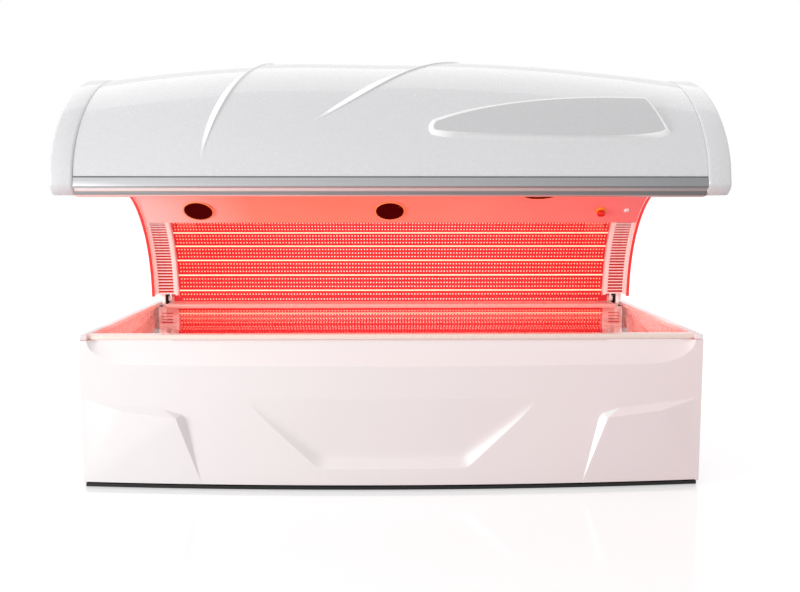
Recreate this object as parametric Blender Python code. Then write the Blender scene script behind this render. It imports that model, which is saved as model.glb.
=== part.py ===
"""Red light therapy bed: a lying bench under a hinged light canopy, built as separate pieces.

Metres, +Z up, +X along the bed to the right of a person standing in front of it, front towards -Y.
The floor is Z = 0, and the middle of the overall length and depth is at X = Y = 0.
The canopy is modelled in its open position.
"""
import math

import bmesh
import bpy
from mathutils import Vector
from mathutils.geometry import delaunay_2d_cdt

for old_object in list(bpy.data.objects):
    bpy.data.objects.remove(old_object, do_unlink=True)

# Overall sizes
BASE_LENGTH = 2.020
CANOPY_OVERHANG = 0.145
RIM_HEIGHT = 0.500
RIM_DEPTH = 0.894
REAR_COMPARTMENT = 0.206
GAP = 0.0003

# Base casing
FASCIA_BOW = 0.050
FASCIA_END_STANDOFF = 0.015
FASCIA_WALL = 0.005
FASCIA_FOOT = 0.012
BAND_DROP = 0.092
BAND_CORNER = 0.150
BAND_END_INSET = 0.002
RIM_BAR = 0.0165
RIM_WIDTH = 0.042
RIM_NOSE = 0.004
UPSTAND_RISE = 0.030
UPSTAND_SHEET = 0.004
UPSTAND_END_CLEARANCE = 0.008
CHEVRON_TOP = 0.300
CHEVRON_TOP_HALF = 0.482
CHEVRON_BOTTOM_HALF = 0.226
CHEVRON_BOTTOM = 0.104
CHEVRON_WALL_DROP = 0.032
CHEVRON_WALL_SIDE = 0.014
CHEVRON_DEPTH = 0.022
PANEL_RISE = 0.024
PANEL_OUTER_Z = 0.286
PANEL_CORNER_INSET = 0.310
PANEL_CORNER_Z = 0.232
PANEL_FOOT_INSET = 0.385
PANEL_WALL = 0.040
SHEET = 0.005
END_FLANGE = 0.025
REAR_FLANGE = 0.078
PLINTH_INSET = 0.006
PLINTH_WIDTH = 0.024
FLOOR_CLEARANCE = 0.001

# Bench and its light tray
BENCH_SAG = 0.050
BENCH_THICKNESS = 0.008
TRAY_DEPTH = 0.080
TRAY_SHEET = 0.003
TRAY_CORNER = 0.060
TRAY_WALL_SETBACK = 0.0126
BOARD_THICKNESS = 0.0022

# Chassis
TUBE = 0.040
TUBE_THIN = 0.030
FRONT_RAIL_SETBACK = 0.080
REAR_RAIL_SETBACK = 0.0425
REAR_POST_SETBACK = 0.045
POST_HEAD_DROP = 0.020
CROSS_X = 0.600
FOOT_HEIGHT = 0.034
FOOT_RADIUS = 0.025
FOOT_PAD = 0.010
FOOT_STEM = 0.007
FOOT_INSET = 0.110

# Light cove inside the canopy, angles measured up from the rear
COVE_RADIUS = 0.474
COVE_BEHIND_RIM = 0.012
COVE_LIFT = 0.020
COVE_START = 1.0
COVE_END = 116.0
STRIP_START = 43.5
STRIP_END = 88.0
STRIP_JOINT = 0.15
ACRYLIC = 0.004
STRIP_SHEET = 0.006
STRIP_PROUD = 0.002
VENT_WIDTH = 0.0977
VENT_BACKSET = 0.006
VENT_SHEET = 0.002
VENT_PITCH = 0.013
VENT_SLOT = 0.006
VENT_MARGIN = 0.012
BOARD_BACKSET = 0.0135
TRAY_END_MARGIN = 0.003
DIVIDER_WIDTH = 0.010
DIVIDER_CLEARANCE = 0.004
SIDE_PLATE = 0.012
SIDE_PLATE_PROUD = 0.012
SIDE_PLATE_BAND = 0.086
SIDE_PLATE_SHORT = 5.0

# Canopy hood
TRIM_REACH = 0.0522
TRIM_HEIGHT = 0.0675
TRIM_NOSE_LIFT = 0.035
TRIM_LIP_DROP = 0.0015
TRIM_LIP = 0.0455
TRIM_DEPTH = 0.0205
SOFFIT_LIFT = 0.009
SOFFIT_SHEET = 0.004
HOOD_FRONT_REACH = 0.538
HOOD_REAR_REACH = 0.350
HOOD_MID_HEIGHT = 0.443
HOOD_END_DROP = 0.075
HOOD_CROWN_POWER = 2.6
HOOD_FRONT_POWER = 1.72
HOOD_WALL = 0.005
CAP_WIDTH = 0.083
CAP_PROUD = 0.010
CAP_EDGE = 0.012
SKIRT_OVER_HINGE = 0.045
SKIRT_LIP = 0.030
SKIRT_BEND = 0.045

# Styling of the hood, as points of X and of the share of the way over the hood from its front foot
SWOOSHES = (
    ((-0.644, 0.060), (-0.657, 0.210), (-0.430, 0.560)),
    ((-0.285, 0.155), (-0.140, 0.235), (0.330, 0.560)),
)
SWOOSH_RISES = (0.014, 0.020)
SWOOSH_BLENDS = (0.450, 0.600)
SWOOSH_WALL = 0.024
SWOOSH_STEPS = 8
TEAR_TIP = (0.126, 0.146)
TEAR_CROWN = (0.370, 0.236)
TEAR_HEEL = (0.165, 0.121)
TEAR_END_SHARES = (0.256, 0.201, 0.135)
TEAR_END_INSETS = (0.164, 0.137, 0.117)
TEAR_RISE = 0.015
TEAR_WALL = 0.011
TEAR_STEPS = 7

# Hinge and gas springs
HINGE_BEHIND_RIM = 0.051
HINGE_LIFT = 0.015
HINGE_PIN_RADIUS = 0.008
HINGE_EYE_RADIUS = 0.022
HINGE_HEAD = 0.005
BRACKET_CLEARANCE = 0.003
EAR_SHEET = 0.003
EAR_SETBACK = 0.0315
EAR_RISE = 0.034
EAR_RIM_CLEARANCE = 0.003
EAR_END_CLEARANCE = 0.001
ARM_INSET = 0.055
ARM_THICKNESS = 0.008
ARM_BAND = 0.058
LEVER_DOWN = 0.200
LEVER_FORWARD = 0.040
LEVER_HALF_WIDTH = 0.014
CLOSING_ANGLE = 29.0
SPRING_OFFSET = 0.020
SPRING_FOOT_LIFT = 0.0457
SPRING_TUBE_RADIUS = 0.011
SPRING_TUBE_WALL = 0.0025
SPRING_ROD_RADIUS = 0.004
SPRING_GLAND = 0.008
SPRING_EYE_WALL = 0.005
SPRING_EYE_DEPTH = 0.010
SPRING_EYE_PLAY = 0.001
STUD_RADIUS = 0.005
TAB_SHEET = 0.006
TAB_CLEARANCE = 0.005
RAIL_ANGLES = (20.0, 43.5, 88.5, 112.0)
RAIL_SIZE = 0.030
RIB_X = 0.450
RIB_THICKNESS = 0.008
RIB_STANDOFF = 0.003

# Fans and speaker
FAN_RADIUS = 0.0555
FAN_WALL = 0.003
FAN_LENGTH = 0.040
FAN_HUB = 0.018
FAN_MOTOR = 0.012
FAN_TIP_GAP = 0.0025
FAN_BLADES = 7
FAN_ANGLE = 53.0
FAN_INSET = 0.242
FAN_CENTRE_X = -0.006
GRILLE_OVERLAP = 0.0045
GRILLE_THICKNESS = 0.003
GRILLE_STANDOFF = 0.0005
SPEAKER_INSET = 0.438
SPEAKER_ANGLE = 73.5
SPEAKER_RADIUS = 0.080
SPEAKER_CUP_INSET = 0.008
SPEAKER_CUP_DEPTH = 0.032
BASE_FAN_X = -0.400
BASE_FAN_Z = 0.270

# Switches
STOP_INSET = 0.172
STOP_ANGLE = 53.0
STOP_STEM_RADIUS = 0.008
STOP_SLEEVE = 0.002
STOP_COLLAR_RADIUS = 0.021
STOP_COLLAR_HEIGHT = 0.008
STOP_CAP_RADIUS = 0.0165
STOP_CAP_HEIGHT = 0.015
STOP_TRAVEL = 0.004
START_RADIUS = 0.007
START_SLEEVE = 0.0015
START_BEZEL_RADIUS = 0.011
START_BEZEL_HEIGHT = 0.003
START_TRAVEL = 0.0025
START_ARM_CLEARANCE = 0.0005
SWITCH_BODY = 0.030

# Electronics, as length, depth and height
EQUIPMENT_HALF = 0.800
EQUIPMENT_DEPTH = 0.715
EQUIPMENT_SHEET = 0.002
EQUIPMENT_SETBACK = 0.4675
SUPPLY_SIZE = (0.600, 0.220, 0.090)
SUPPLY_X = -0.200
CONTROLS_SIZE = (0.300, 0.220, 0.110)
CONTROLS_X = 0.600
INLET_SIZE = (0.050, 0.060, 0.040)
INLET_INSET = 0.260
INLET_Z = 0.120
DRIVER_SIZE = (0.700, 0.150, 0.055)

# Places that follow from the sizes above
depth = FASCIA_BOW + FASCIA_END_STANDOFF + RIM_DEPTH + REAR_COMPARTMENT
half_base = BASE_LENGTH / 2
half_canopy = half_base + CANOPY_OVERHANG
rim_front = -depth / 2 + FASCIA_BOW + FASCIA_END_STANDOFF
rim_rear = rim_front + RIM_DEPTH
rear_face = depth / 2
cove_y = rim_rear + COVE_BEHIND_RIM - COVE_RADIUS
cove_z = RIM_HEIGHT + COVE_LIFT
cove_lip_y = cove_y + COVE_RADIUS * math.cos(math.radians(COVE_END))
cove_lip_z = cove_z + COVE_RADIUS * math.sin(math.radians(COVE_END))
trim_face = cove_lip_y - TRIM_REACH
trim_nose = cove_lip_z + TRIM_NOSE_LIFT
trim_lip = cove_lip_z - TRIM_LIP_DROP
soffit_z = cove_lip_z + SOFFIT_LIFT
hood_foot = cove_lip_z + TRIM_HEIGHT
hood_y = trim_face + HOOD_FRONT_REACH
hinge_y = rim_rear + HINGE_BEHIND_RIM
hinge_z = RIM_HEIGHT + HINGE_LIFT
plate_inner = half_base - SIDE_PLATE
cove_half = plate_inner - GAP
board_half = cove_half - VENT_WIDTH
cap_joint = half_canopy - CAP_WIDTH
acrylic_inner = COVE_RADIUS - ACRYLIC
vent_inner = COVE_RADIUS + VENT_BACKSET
board_inner = COVE_RADIUS + BOARD_BACKSET
tray_inner = board_inner + BOARD_THICKNESS + GAP
tray_outer = tray_inner + TRAY_SHEET
arm_x = half_base - ARM_INSET
arm_inner = vent_inner + VENT_SHEET + GAP
spring_x = arm_x - SPRING_OFFSET
stud_y = hinge_y - LEVER_FORWARD
stud_z = hinge_z - LEVER_DOWN
rail_low = FOOT_HEIGHT + GAP
rail_high = rail_low + TUBE
front_rail_y = rim_front + FRONT_RAIL_SETBACK
rear_rail_y = rear_face - REAR_RAIL_SETBACK
rear_post = hinge_y + REAR_POST_SETBACK
spring_foot_y = rear_rail_y
spring_foot_z = rail_high + SPRING_FOOT_LIFT
fan_positions = (FAN_INSET - half_base, FAN_CENTRE_X)
grille_radius = FAN_RADIUS + GRILLE_OVERLAP
speaker_x = half_base - SPEAKER_INSET
stop_x = half_base - STOP_INSET
start_x = arm_x - ARM_THICKNESS / 2 - START_ARM_CLEARANCE - START_SLEEVE - START_RADIUS
panel_corner_x = half_base - PANEL_CORNER_INSET
panel_foot_x = half_base - PANEL_FOOT_INSET


def make_material(name, colour, metallic, roughness, alpha=1.0):
    material = bpy.data.materials.new(name)
    material.use_nodes = True
    shader = material.node_tree.nodes["Principled BSDF"]
    shader.inputs["Base Color"].default_value = (*colour, 1.0)
    shader.inputs["Metallic"].default_value = metallic
    shader.inputs["Roughness"].default_value = roughness
    shader.inputs["Alpha"].default_value = alpha
    return material


SHELL_WHITE = ((0.86, 0.86, 0.87), 0.0, 0.20)
PANEL_PINK = ((0.90, 0.45, 0.40), 0.0, 0.35)
ALUMINIUM = ((0.55, 0.56, 0.58), 1.0, 0.35)
STEEL = ((0.45, 0.46, 0.48), 1.0, 0.40)
BLACK_PLASTIC = ((0.02, 0.02, 0.02), 0.0, 0.50)
DARK_METAL = ((0.10, 0.02, 0.02), 0.6, 0.45)
CLEAR = ((0.95, 0.80, 0.80), 0.0, 0.05, 0.25)
BOARD_RED = ((0.80, 0.05, 0.08), 0.0, 0.40)
RUBBER = ((0.03, 0.03, 0.03), 0.0, 0.80)
YELLOW = ((0.95, 0.50, 0.05), 0.0, 0.35)
RED = ((0.75, 0.02, 0.02), 0.0, 0.30)


def finish(name, mesh_data, look):
    """Turn a bmesh into the named node with its own material."""
    bmesh.ops.recalc_face_normals(mesh_data, faces=mesh_data.faces)
    mesh = bpy.data.meshes.new(name)
    mesh_data.to_mesh(mesh)
    mesh_data.free()
    for polygon in mesh.polygons:
        polygon.use_smooth = True
    mesh.set_sharp_from_angle(angle=math.radians(32))
    mesh.materials.append(make_material(name, *look))
    node = bpy.data.objects.new(name, mesh)
    bpy.context.scene.collection.objects.link(node)
    return node


def combine(node, tools, operation):
    """Apply a union or a cut of each tool to the node, and drop the tools."""
    for tool in tools:
        modifier = node.modifiers.new("combine", "BOOLEAN")
        modifier.operation = operation
        modifier.solver = "EXACT"
        modifier.object = tool
        graph = bpy.context.evaluated_depsgraph_get()
        mesh = bpy.data.meshes.new_from_object(node.evaluated_get(graph))
        node.modifiers.clear()
        node.data = mesh
        bpy.data.objects.remove(tool, do_unlink=True)
    node.data.materials.clear()
    node.data.materials.append(bpy.data.materials[node.name])
    return node


def along_x(u, v, w):
    return Vector((w, u, v))


def along_y(u, v, w):
    return Vector((u, w, v))


def along_z(u, v, w):
    return Vector((u, v, w))


def cove_point(radius, degrees):
    angle = math.radians(degrees)
    return cove_y + radius * math.cos(angle), cove_z + radius * math.sin(angle)


def on_cove(x_middle, degrees):
    """A frame on the cove: u along the bed, v up the curve, w out from the cove's axis."""
    cosine = math.cos(math.radians(degrees))
    sine = math.sin(math.radians(degrees))

    def place(u, v, w):
        return Vector((x_middle + u, cove_y + w * cosine - v * sine, cove_z + w * sine + v * cosine))

    return place


def circle(radius, steps=24, centre=(0.0, 0.0)):
    angles = [2 * math.pi * step / steps for step in range(steps)]
    return [(centre[0] + radius * math.cos(a), centre[1] + radius * math.sin(a)) for a in angles]


def arc_band(inner, outer, start, end, steps):
    """Closed outline in Y and Z of a band that follows the cove, with its facets inside the two radii."""
    angles = [start + (end - start) * step / steps for step in range(steps + 1)]
    corner = inner / math.cos(math.radians((end - start) / steps / 2))
    return [cove_point(corner, a) for a in angles] + [cove_point(outer, a) for a in reversed(angles)]


def add_extrusion(mesh_data, outline, low, high, place):
    near = [mesh_data.verts.new(place(u, v, low)) for u, v in outline]
    far = [mesh_data.verts.new(place(u, v, high)) for u, v in outline]
    mesh_data.faces.new(near)
    mesh_data.faces.new(list(reversed(far)))
    for index in range(len(outline)):
        after = (index + 1) % len(outline)
        mesh_data.faces.new((near[index], far[index], far[after], near[after]))


def add_box(mesh_data, x, y, z):
    outline = [(x[0], y[0]), (x[1], y[0]), (x[1], y[1]), (x[0], y[1])]
    add_extrusion(mesh_data, outline, z[0], z[1], along_z)


def add_turned(mesh_data, profile, place, steps=24, centre=(0.0, 0.0)):
    """Turn a profile of (radius, w) points about w; a profile without axis points closes on itself."""
    closed = profile[0][0] > 0 and profile[-1][0] > 0
    rings = []
    for radius, w in profile:
        if radius == 0:
            rings.append([mesh_data.verts.new(place(centre[0], centre[1], w))])
        else:
            rings.append([mesh_data.verts.new(place(u, v, w)) for u, v in circle(radius, steps, centre)])
    pairs = list(zip(rings, rings[1:]))
    if closed:
        pairs.append((rings[-1], rings[0]))
    for first, second in pairs:
        for index in range(steps):
            after = (index + 1) % steps
            corners = [
                first[index % len(first)],
                first[after % len(first)],
                second[after % len(second)],
                second[index % len(second)],
            ]
            distinct = []
            for corner in corners:
                if corner not in distinct:
                    distinct.append(corner)
            mesh_data.faces.new(distinct)


def add_sheet(mesh_data, columns, rows, is_solid, place, low, high):
    """A sheet on a grid of columns and rows, leaving out the cells that are not solid."""
    corners = {}

    def corner(column, row, level):
        key = (column, row, level)
        if key not in corners:
            corners[key] = mesh_data.verts.new(place(columns[column], rows[row], level))
        return corners[key]

    def solid(column, row):
        inside = 0 <= column < len(columns) - 1 and 0 <= row < len(rows) - 1
        return inside and is_solid(column, row)

    for column in range(len(columns) - 1):
        for row in range(len(rows) - 1):
            if not solid(column, row):
                continue
            around = [(column, row), (column + 1, row), (column + 1, row + 1), (column, row + 1)]
            mesh_data.faces.new([corner(*cell, low) for cell in around])
            mesh_data.faces.new([corner(*cell, high) for cell in reversed(around)])
            beyond = [(column, row - 1), (column + 1, row), (column, row + 1), (column - 1, row)]
            for side, neighbour in enumerate(beyond):
                if not solid(*neighbour):
                    first = around[side]
                    second = around[(side + 1) % 4]
                    mesh_data.faces.new((corner(*first, high), corner(*second, high),
                                         corner(*second, low), corner(*first, low)))


def distance_to_line(point, start, end):
    span = (end[0] - start[0], end[1] - start[1])
    length = span[0] ** 2 + span[1] ** 2
    share = ((point[0] - start[0]) * span[0] + (point[1] - start[1]) * span[1]) / max(length, 1e-12)
    share = min(max(share, 0.0), 1.0)
    return math.hypot(start[0] + share * span[0] - point[0], start[1] + share * span[1] - point[1])


def add_sculpted(mesh_data, creases, grid, height, clear, outer, inner):
    """A thick sheet over a rectangle, creased along the given lines of (u, v, height) points.

    Grid points take their height from height(u, v) and keep clear of the creases."""
    points = []
    edges = []
    for line in creases:
        first = len(points)
        points.extend(line)
        edges.extend((first + step, first + step + 1) for step in range(len(line) - 1))
    lines = [(points[start], points[end]) for start, end in edges]
    us, vs = grid
    for u in us:
        for v in vs:
            at_edge = u in (us[0], us[-1]) or v in (vs[0], vs[-1])
            near = min((distance_to_line((u, v), *line) for line in lines), default=1.0)
            if near > (clear * 0.1 if at_edge else clear):
                points.append((u, v, height(u, v)))
    flat = [Vector((u, v)) for u, v, rise in points]
    spots, joined, faces, sources, joined_sources, face_sources = delaunay_2d_cdt(flat, edges, [], 0, 1e-5)
    rises = [points[source[0]][2] if source else 0.0 for source in sources]
    front = [mesh_data.verts.new(outer(s.x, s.y, rise)) for s, rise in zip(spots, rises)]
    back = [mesh_data.verts.new(inner(s.x, s.y, rise)) for s, rise in zip(spots, rises)]
    uses = {}
    for face in faces:
        mesh_data.faces.new([front[index] for index in face])
        mesh_data.faces.new([back[index] for index in reversed(face)])
        for start, end in zip(face, face[1:] + face[:1]):
            uses[(start, end)] = True
    for start, end in uses:
        if (end, start) not in uses:
            mesh_data.faces.new((front[end], front[start], back[start], back[end]))


def spread(low, high, steps):
    return [low + (high - low) * step / steps for step in range(steps + 1)]


def inside_triangle(point, corners):
    """Height at a point inside a triangle of (u, v, height) corners, or None outside it."""
    a, b, c = corners
    area = (b[0] - a[0]) * (c[1] - a[1]) - (c[0] - a[0]) * (b[1] - a[1])
    share_b = ((point[0] - a[0]) * (c[1] - a[1]) - (c[0] - a[0]) * (point[1] - a[1])) / area
    share_c = ((b[0] - a[0]) * (point[1] - a[1]) - (point[0] - a[0]) * (b[1] - a[1])) / area
    if share_b < 0 or share_c < 0 or share_b + share_c > 1:
        return None
    return a[2] + share_b * (b[2] - a[2]) + share_c * (c[2] - a[2])


# Base casing: front fascia with its sloped band, chevron recess and raised side panels
fascia_top = RIM_HEIGHT - RIM_BAR - GAP
band_foot = fascia_top - BAND_DROP + RIM_BAR
band_half = half_base - END_FLANGE - BAND_END_INSET


def fascia_main(x):
    return rim_front - FASCIA_END_STANDOFF - FASCIA_BOW * (1 - (x / half_base) ** 2)


def band_edge(x):
    run = max(0.0, abs(x) - (band_half - BAND_CORNER)) / BAND_CORNER
    return band_foot + (fascia_top - band_foot) * (1 - math.sqrt(max(0.0, 1 - run ** 2)))


def fascia_surface(x, z):
    foot = band_edge(x)
    if z <= foot + 1e-5 or fascia_top - foot < 1e-4:
        return fascia_main(x)
    share = (z - foot) / (fascia_top - foot)
    return fascia_main(x) + share * (rim_front + RIM_NOSE - fascia_main(x))


chevron_creases = [
    [(-CHEVRON_TOP_HALF, CHEVRON_TOP, 0.0), (-CHEVRON_BOTTOM_HALF, CHEVRON_BOTTOM, -CHEVRON_DEPTH),
     (CHEVRON_BOTTOM_HALF, CHEVRON_BOTTOM, -CHEVRON_DEPTH), (CHEVRON_TOP_HALF, CHEVRON_TOP, 0.0)],
    [(-CHEVRON_TOP_HALF, CHEVRON_TOP, 0.0),
     (-CHEVRON_BOTTOM_HALF - CHEVRON_WALL_SIDE, CHEVRON_BOTTOM - CHEVRON_WALL_DROP, 0.0),
     (CHEVRON_BOTTOM_HALF + CHEVRON_WALL_SIDE, CHEVRON_BOTTOM - CHEVRON_WALL_DROP, 0.0),
     (CHEVRON_TOP_HALF, CHEVRON_TOP, 0.0)],
]
panel_end_x = half_base - PANEL_WALL
panel_apex = (panel_corner_x, PANEL_CORNER_Z, PANEL_RISE)
panel_shoulder = ((panel_end_x + panel_corner_x) / 2 + PANEL_WALL, (PANEL_OUTER_Z + PANEL_CORNER_Z) / 2,
                  PANEL_RISE * 0.6)
panel_outer = (panel_end_x, PANEL_OUTER_Z, 0.0)
panel_low = (panel_foot_x, FASCIA_FOOT, 0.0)
panel_far = (half_base, FASCIA_FOOT, 0.0)
panel_facets = [(panel_outer, panel_shoulder, panel_far), (panel_shoulder, panel_apex, panel_far),
                (panel_apex, panel_low, panel_far)]
panel_creases = [
    [panel_outer, panel_shoulder, panel_apex, panel_low],
    [panel_outer, (panel_corner_x + PANEL_WALL, PANEL_CORNER_Z + PANEL_WALL, 0.0),
     (panel_corner_x - PANEL_WALL * 0.8, PANEL_CORNER_Z + PANEL_WALL * 0.4, 0.0),
     (panel_corner_x - PANEL_WALL * 1.2, PANEL_CORNER_Z, 0.0), panel_low],
]


def fascia_height(x, z):
    if CHEVRON_BOTTOM <= z <= CHEVRON_TOP:
        share = (CHEVRON_TOP - z) / (CHEVRON_TOP - CHEVRON_BOTTOM)
        if abs(x) <= CHEVRON_TOP_HALF + share * (CHEVRON_BOTTOM_HALF - CHEVRON_TOP_HALF):
            return -CHEVRON_DEPTH * share
    for facet in panel_facets:
        rise = inside_triangle((abs(x), z), facet)
        if rise is not None:
            return rise
    return 0.0


def mirrored(lines):
    return lines + [[(-u, v, rise) for u, v, rise in line] for line in lines]


band_line = [(x, band_edge(x), 0.0) for x in
             [band_half - BAND_CORNER * share for share in (0.0, 0.08, 0.25, 0.55, 1.0)]]
band_line = band_line + [(-x, z, rise) for x, z, rise in reversed(band_line)]
band_end_x = band_half - BAND_CORNER * 0.08
band_end = [(band_end_x, band_edge(band_end_x), 0.0), (band_end_x, fascia_top, 0.0)]
fascia = bmesh.new()
add_sculpted(
    fascia,
    chevron_creases + mirrored(panel_creases) + [band_line] + mirrored([band_end]),
    (spread(-half_base, half_base, 20), spread(FASCIA_FOOT, fascia_top, 7)),
    fascia_height,
    0.018,
    lambda x, z, rise: Vector((x, fascia_surface(x, z) - rise, z)),
    lambda x, z, rise: Vector((x, fascia_surface(x, z) - rise + FASCIA_WALL, z)),
)
finish("front_fascia", fascia, SHELL_WHITE)

# Plinth strip under the fascia, following its bow
plinth = bmesh.new()
plinth_xs = spread(-half_base + PLINTH_INSET, half_base - PLINTH_INSET, 16)
plinth_outline = [(x, fascia_main(x) + PLINTH_INSET) for x in plinth_xs]
plinth_outline += [(x, fascia_main(x) + PLINTH_INSET + PLINTH_WIDTH) for x in reversed(plinth_xs)]
add_extrusion(plinth, plinth_outline, FLOOR_CLEARANCE, FASCIA_FOOT - GAP, along_z)
finish("plinth_strip", plinth, BLACK_PLASTIC)

# End panels: a sheet with a top flange that forms the bed's end rim
end_front = fascia_main(half_base) + FASCIA_WALL + GAP
end_rear = rear_face - SHEET - GAP
for side, name in ((-1, "base_end_panel_left"), (1, "base_end_panel_right")):
    panel = bmesh.new()
    section = [(half_base, FASCIA_FOOT), (half_base, RIM_HEIGHT), (half_base - END_FLANGE, RIM_HEIGHT),
               (half_base - END_FLANGE, RIM_HEIGHT - RIM_BAR), (half_base - SHEET, RIM_HEIGHT - RIM_BAR),
               (half_base - SHEET, FASCIA_FOOT)]
    add_extrusion(panel, [(side * x, z) for x, z in section], end_front, end_rear, along_y)
    finish(name, panel, SHELL_WHITE)

# Front rim bar and rear rim with its upstand behind the canopy's lower edge
rim_half = half_base - END_FLANGE - GAP
rim = bmesh.new()
rim_low = RIM_HEIGHT - RIM_BAR
add_extrusion(rim, [(rim_front, rim_low + 0.003), (rim_front + 0.003, rim_low),
                    (rim_front + RIM_WIDTH, rim_low), (rim_front + RIM_WIDTH, RIM_HEIGHT - 0.004),
                    (rim_front + RIM_WIDTH - 0.004, RIM_HEIGHT), (rim_front + 0.005, RIM_HEIGHT),
                    (rim_front, RIM_HEIGHT - 0.005)], -rim_half, rim_half, along_x)
finish("rim_front", rim, SHELL_WHITE)
upstand_half = arm_x - ARM_THICKNESS / 2 - UPSTAND_END_CLEARANCE
rim = bmesh.new()
upstand_y = hinge_y + HINGE_PIN_RADIUS
add_extrusion(rim, [(rim_rear - RIM_WIDTH, rim_low), (upstand_y + UPSTAND_SHEET, rim_low),
                    (upstand_y + UPSTAND_SHEET, hinge_z + UPSTAND_RISE), (upstand_y, hinge_z + UPSTAND_RISE),
                    (upstand_y, RIM_HEIGHT), (rim_rear - RIM_WIDTH, RIM_HEIGHT)],
              -upstand_half, upstand_half, along_x)
finish("rim_rear", rim, SHELL_WHITE)

# Rear panel with the hole for the base fan
panel = bmesh.new()
add_box(panel, (-half_base, half_base), (rear_face - SHEET, rear_face), (FASCIA_FOOT, RIM_HEIGHT))
rear_panel = finish("base_rear_panel", panel, SHELL_WHITE)
flange = bmesh.new()
add_box(flange, (-rim_half, rim_half), (rear_face - REAR_FLANGE, rear_face - SHEET * 0.5),
        (RIM_HEIGHT - SHEET, RIM_HEIGHT))
combine(rear_panel, [finish("flange", flange, SHELL_WHITE)], "UNION")
cutter = bmesh.new()
hole = circle(FAN_RADIUS - FAN_WALL, 24, (BASE_FAN_X, BASE_FAN_Z))
add_extrusion(cutter, hole, rear_face - 0.030, rear_face + 0.030, along_y)
combine(rear_panel, [finish("fan_hole", cutter, BLACK_PLASTIC)], "DIFFERENCE")

# Bench: clear acrylic sheet, slightly dished, seated under the rims
bench = bmesh.new()
bench_front = rim_front + RIM_WIDTH * 0.5
bench_rear = rim_rear - RIM_WIDTH * 0.5
bench_edge = rim_low - GAP
bench_ys = spread(bench_front, bench_rear, 12)
bench_middle = (bench_front + bench_rear) / 2


def bench_top(y):
    share = (y - bench_middle) / (bench_rear - bench_middle)
    return bench_edge - BENCH_SAG * (1 - share ** 2)


bench_outline = [(y, bench_top(y)) for y in bench_ys]
bench_outline += [(y, bench_top(y) - BENCH_THICKNESS) for y in reversed(bench_ys)]
add_extrusion(bench, bench_outline, -rim_half, rim_half, along_x)
finish("bench_acrylic", bench, CLEAR)

# Light tray under the bench: a sheet trough with a rounded corner at the front and the rear
tray_half = half_base - END_FLANGE - GAP
tray_front = rim_front + TRAY_WALL_SETBACK
tray_rear = cove_point(COVE_RADIUS, 0.0)[0]
tray_top = rim_low - GAP
tray_floor = bench_edge - BENCH_SAG - BENCH_THICKNESS - TRAY_DEPTH


def tray_profile(inset):
    radius = TRAY_CORNER - inset
    points = [(tray_rear - inset, tray_top)]
    for step in range(5):
        angle = math.radians(90 * step / 4)
        points.append((tray_rear - TRAY_CORNER + radius * math.cos(angle),
                       tray_floor + TRAY_CORNER - radius * math.sin(angle)))
    for step in range(5):
        angle = math.radians(90 + 90 * step / 4)
        points.append((tray_front + TRAY_CORNER + radius * math.cos(angle),
                       tray_floor + TRAY_CORNER - radius * math.sin(angle)))
    points.append((tray_front + inset, tray_top))
    return points


tray = bmesh.new()
tray_outline = tray_profile(0.0) + list(reversed(tray_profile(TRAY_SHEET)))
add_extrusion(tray, tray_outline, -tray_half, tray_half, along_x)
tray_node = finish("lower_led_tray", tray, ALUMINIUM)

# Vent slots through the tray's rear wall, beyond the light board at both ends
divider_outer = board_half + DIVIDER_CLEARANCE + DIVIDER_WIDTH
slot_low_x = divider_outer + VENT_MARGIN
slot_high_x = cove_half - VENT_MARGIN


def slot_rows(low, high):
    """Edges of solid bars and slots, in turn, between two ends."""
    count = int((high - low - VENT_SLOT) / VENT_PITCH)
    margin = (high - low - (count - 1) * VENT_PITCH - VENT_SLOT) / 2
    rows = [low]
    for slot in range(count):
        rows.append(low + margin + slot * VENT_PITCH)
        rows.append(low + margin + slot * VENT_PITCH + VENT_SLOT)
    return rows + [high]


cutter = bmesh.new()
rows = slot_rows(tray_floor + TRAY_CORNER, tray_top - RIM_BAR)
for low, high in zip(rows[1:-1:2], rows[2:-1:2]):
    for side in (-1, 1):
        ends = sorted((side * slot_low_x, side * (slot_high_x - VENT_MARGIN)))
        add_box(cutter, ends, (tray_rear - 0.020, tray_rear + 0.020), (low, high))
combine(tray_node, [finish("slots", cutter, ALUMINIUM)], "DIFFERENCE")

# Light board on the floor and the rear wall of the lower tray
board = bmesh.new()
board_back = tray_profile(TRAY_SHEET + GAP)[:-1]
board_face = tray_profile(TRAY_SHEET + GAP + BOARD_THICKNESS)[:-1]
add_extrusion(board, board_back + list(reversed(board_face)), -board_half, board_half, along_x)
finish("lower_led_board", board, BOARD_RED)

# Chassis: welded square tube, standing on levelling feet
post_in = half_base - SHEET - GAP - TUBE_THIN
post_out = post_in + TUBE_THIN
shelf_top = tray_floor - GAP


def chassis_member(x, y, z):
    member = bmesh.new()
    add_box(member, x, y, z)
    return finish("member", member, STEEL)


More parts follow.
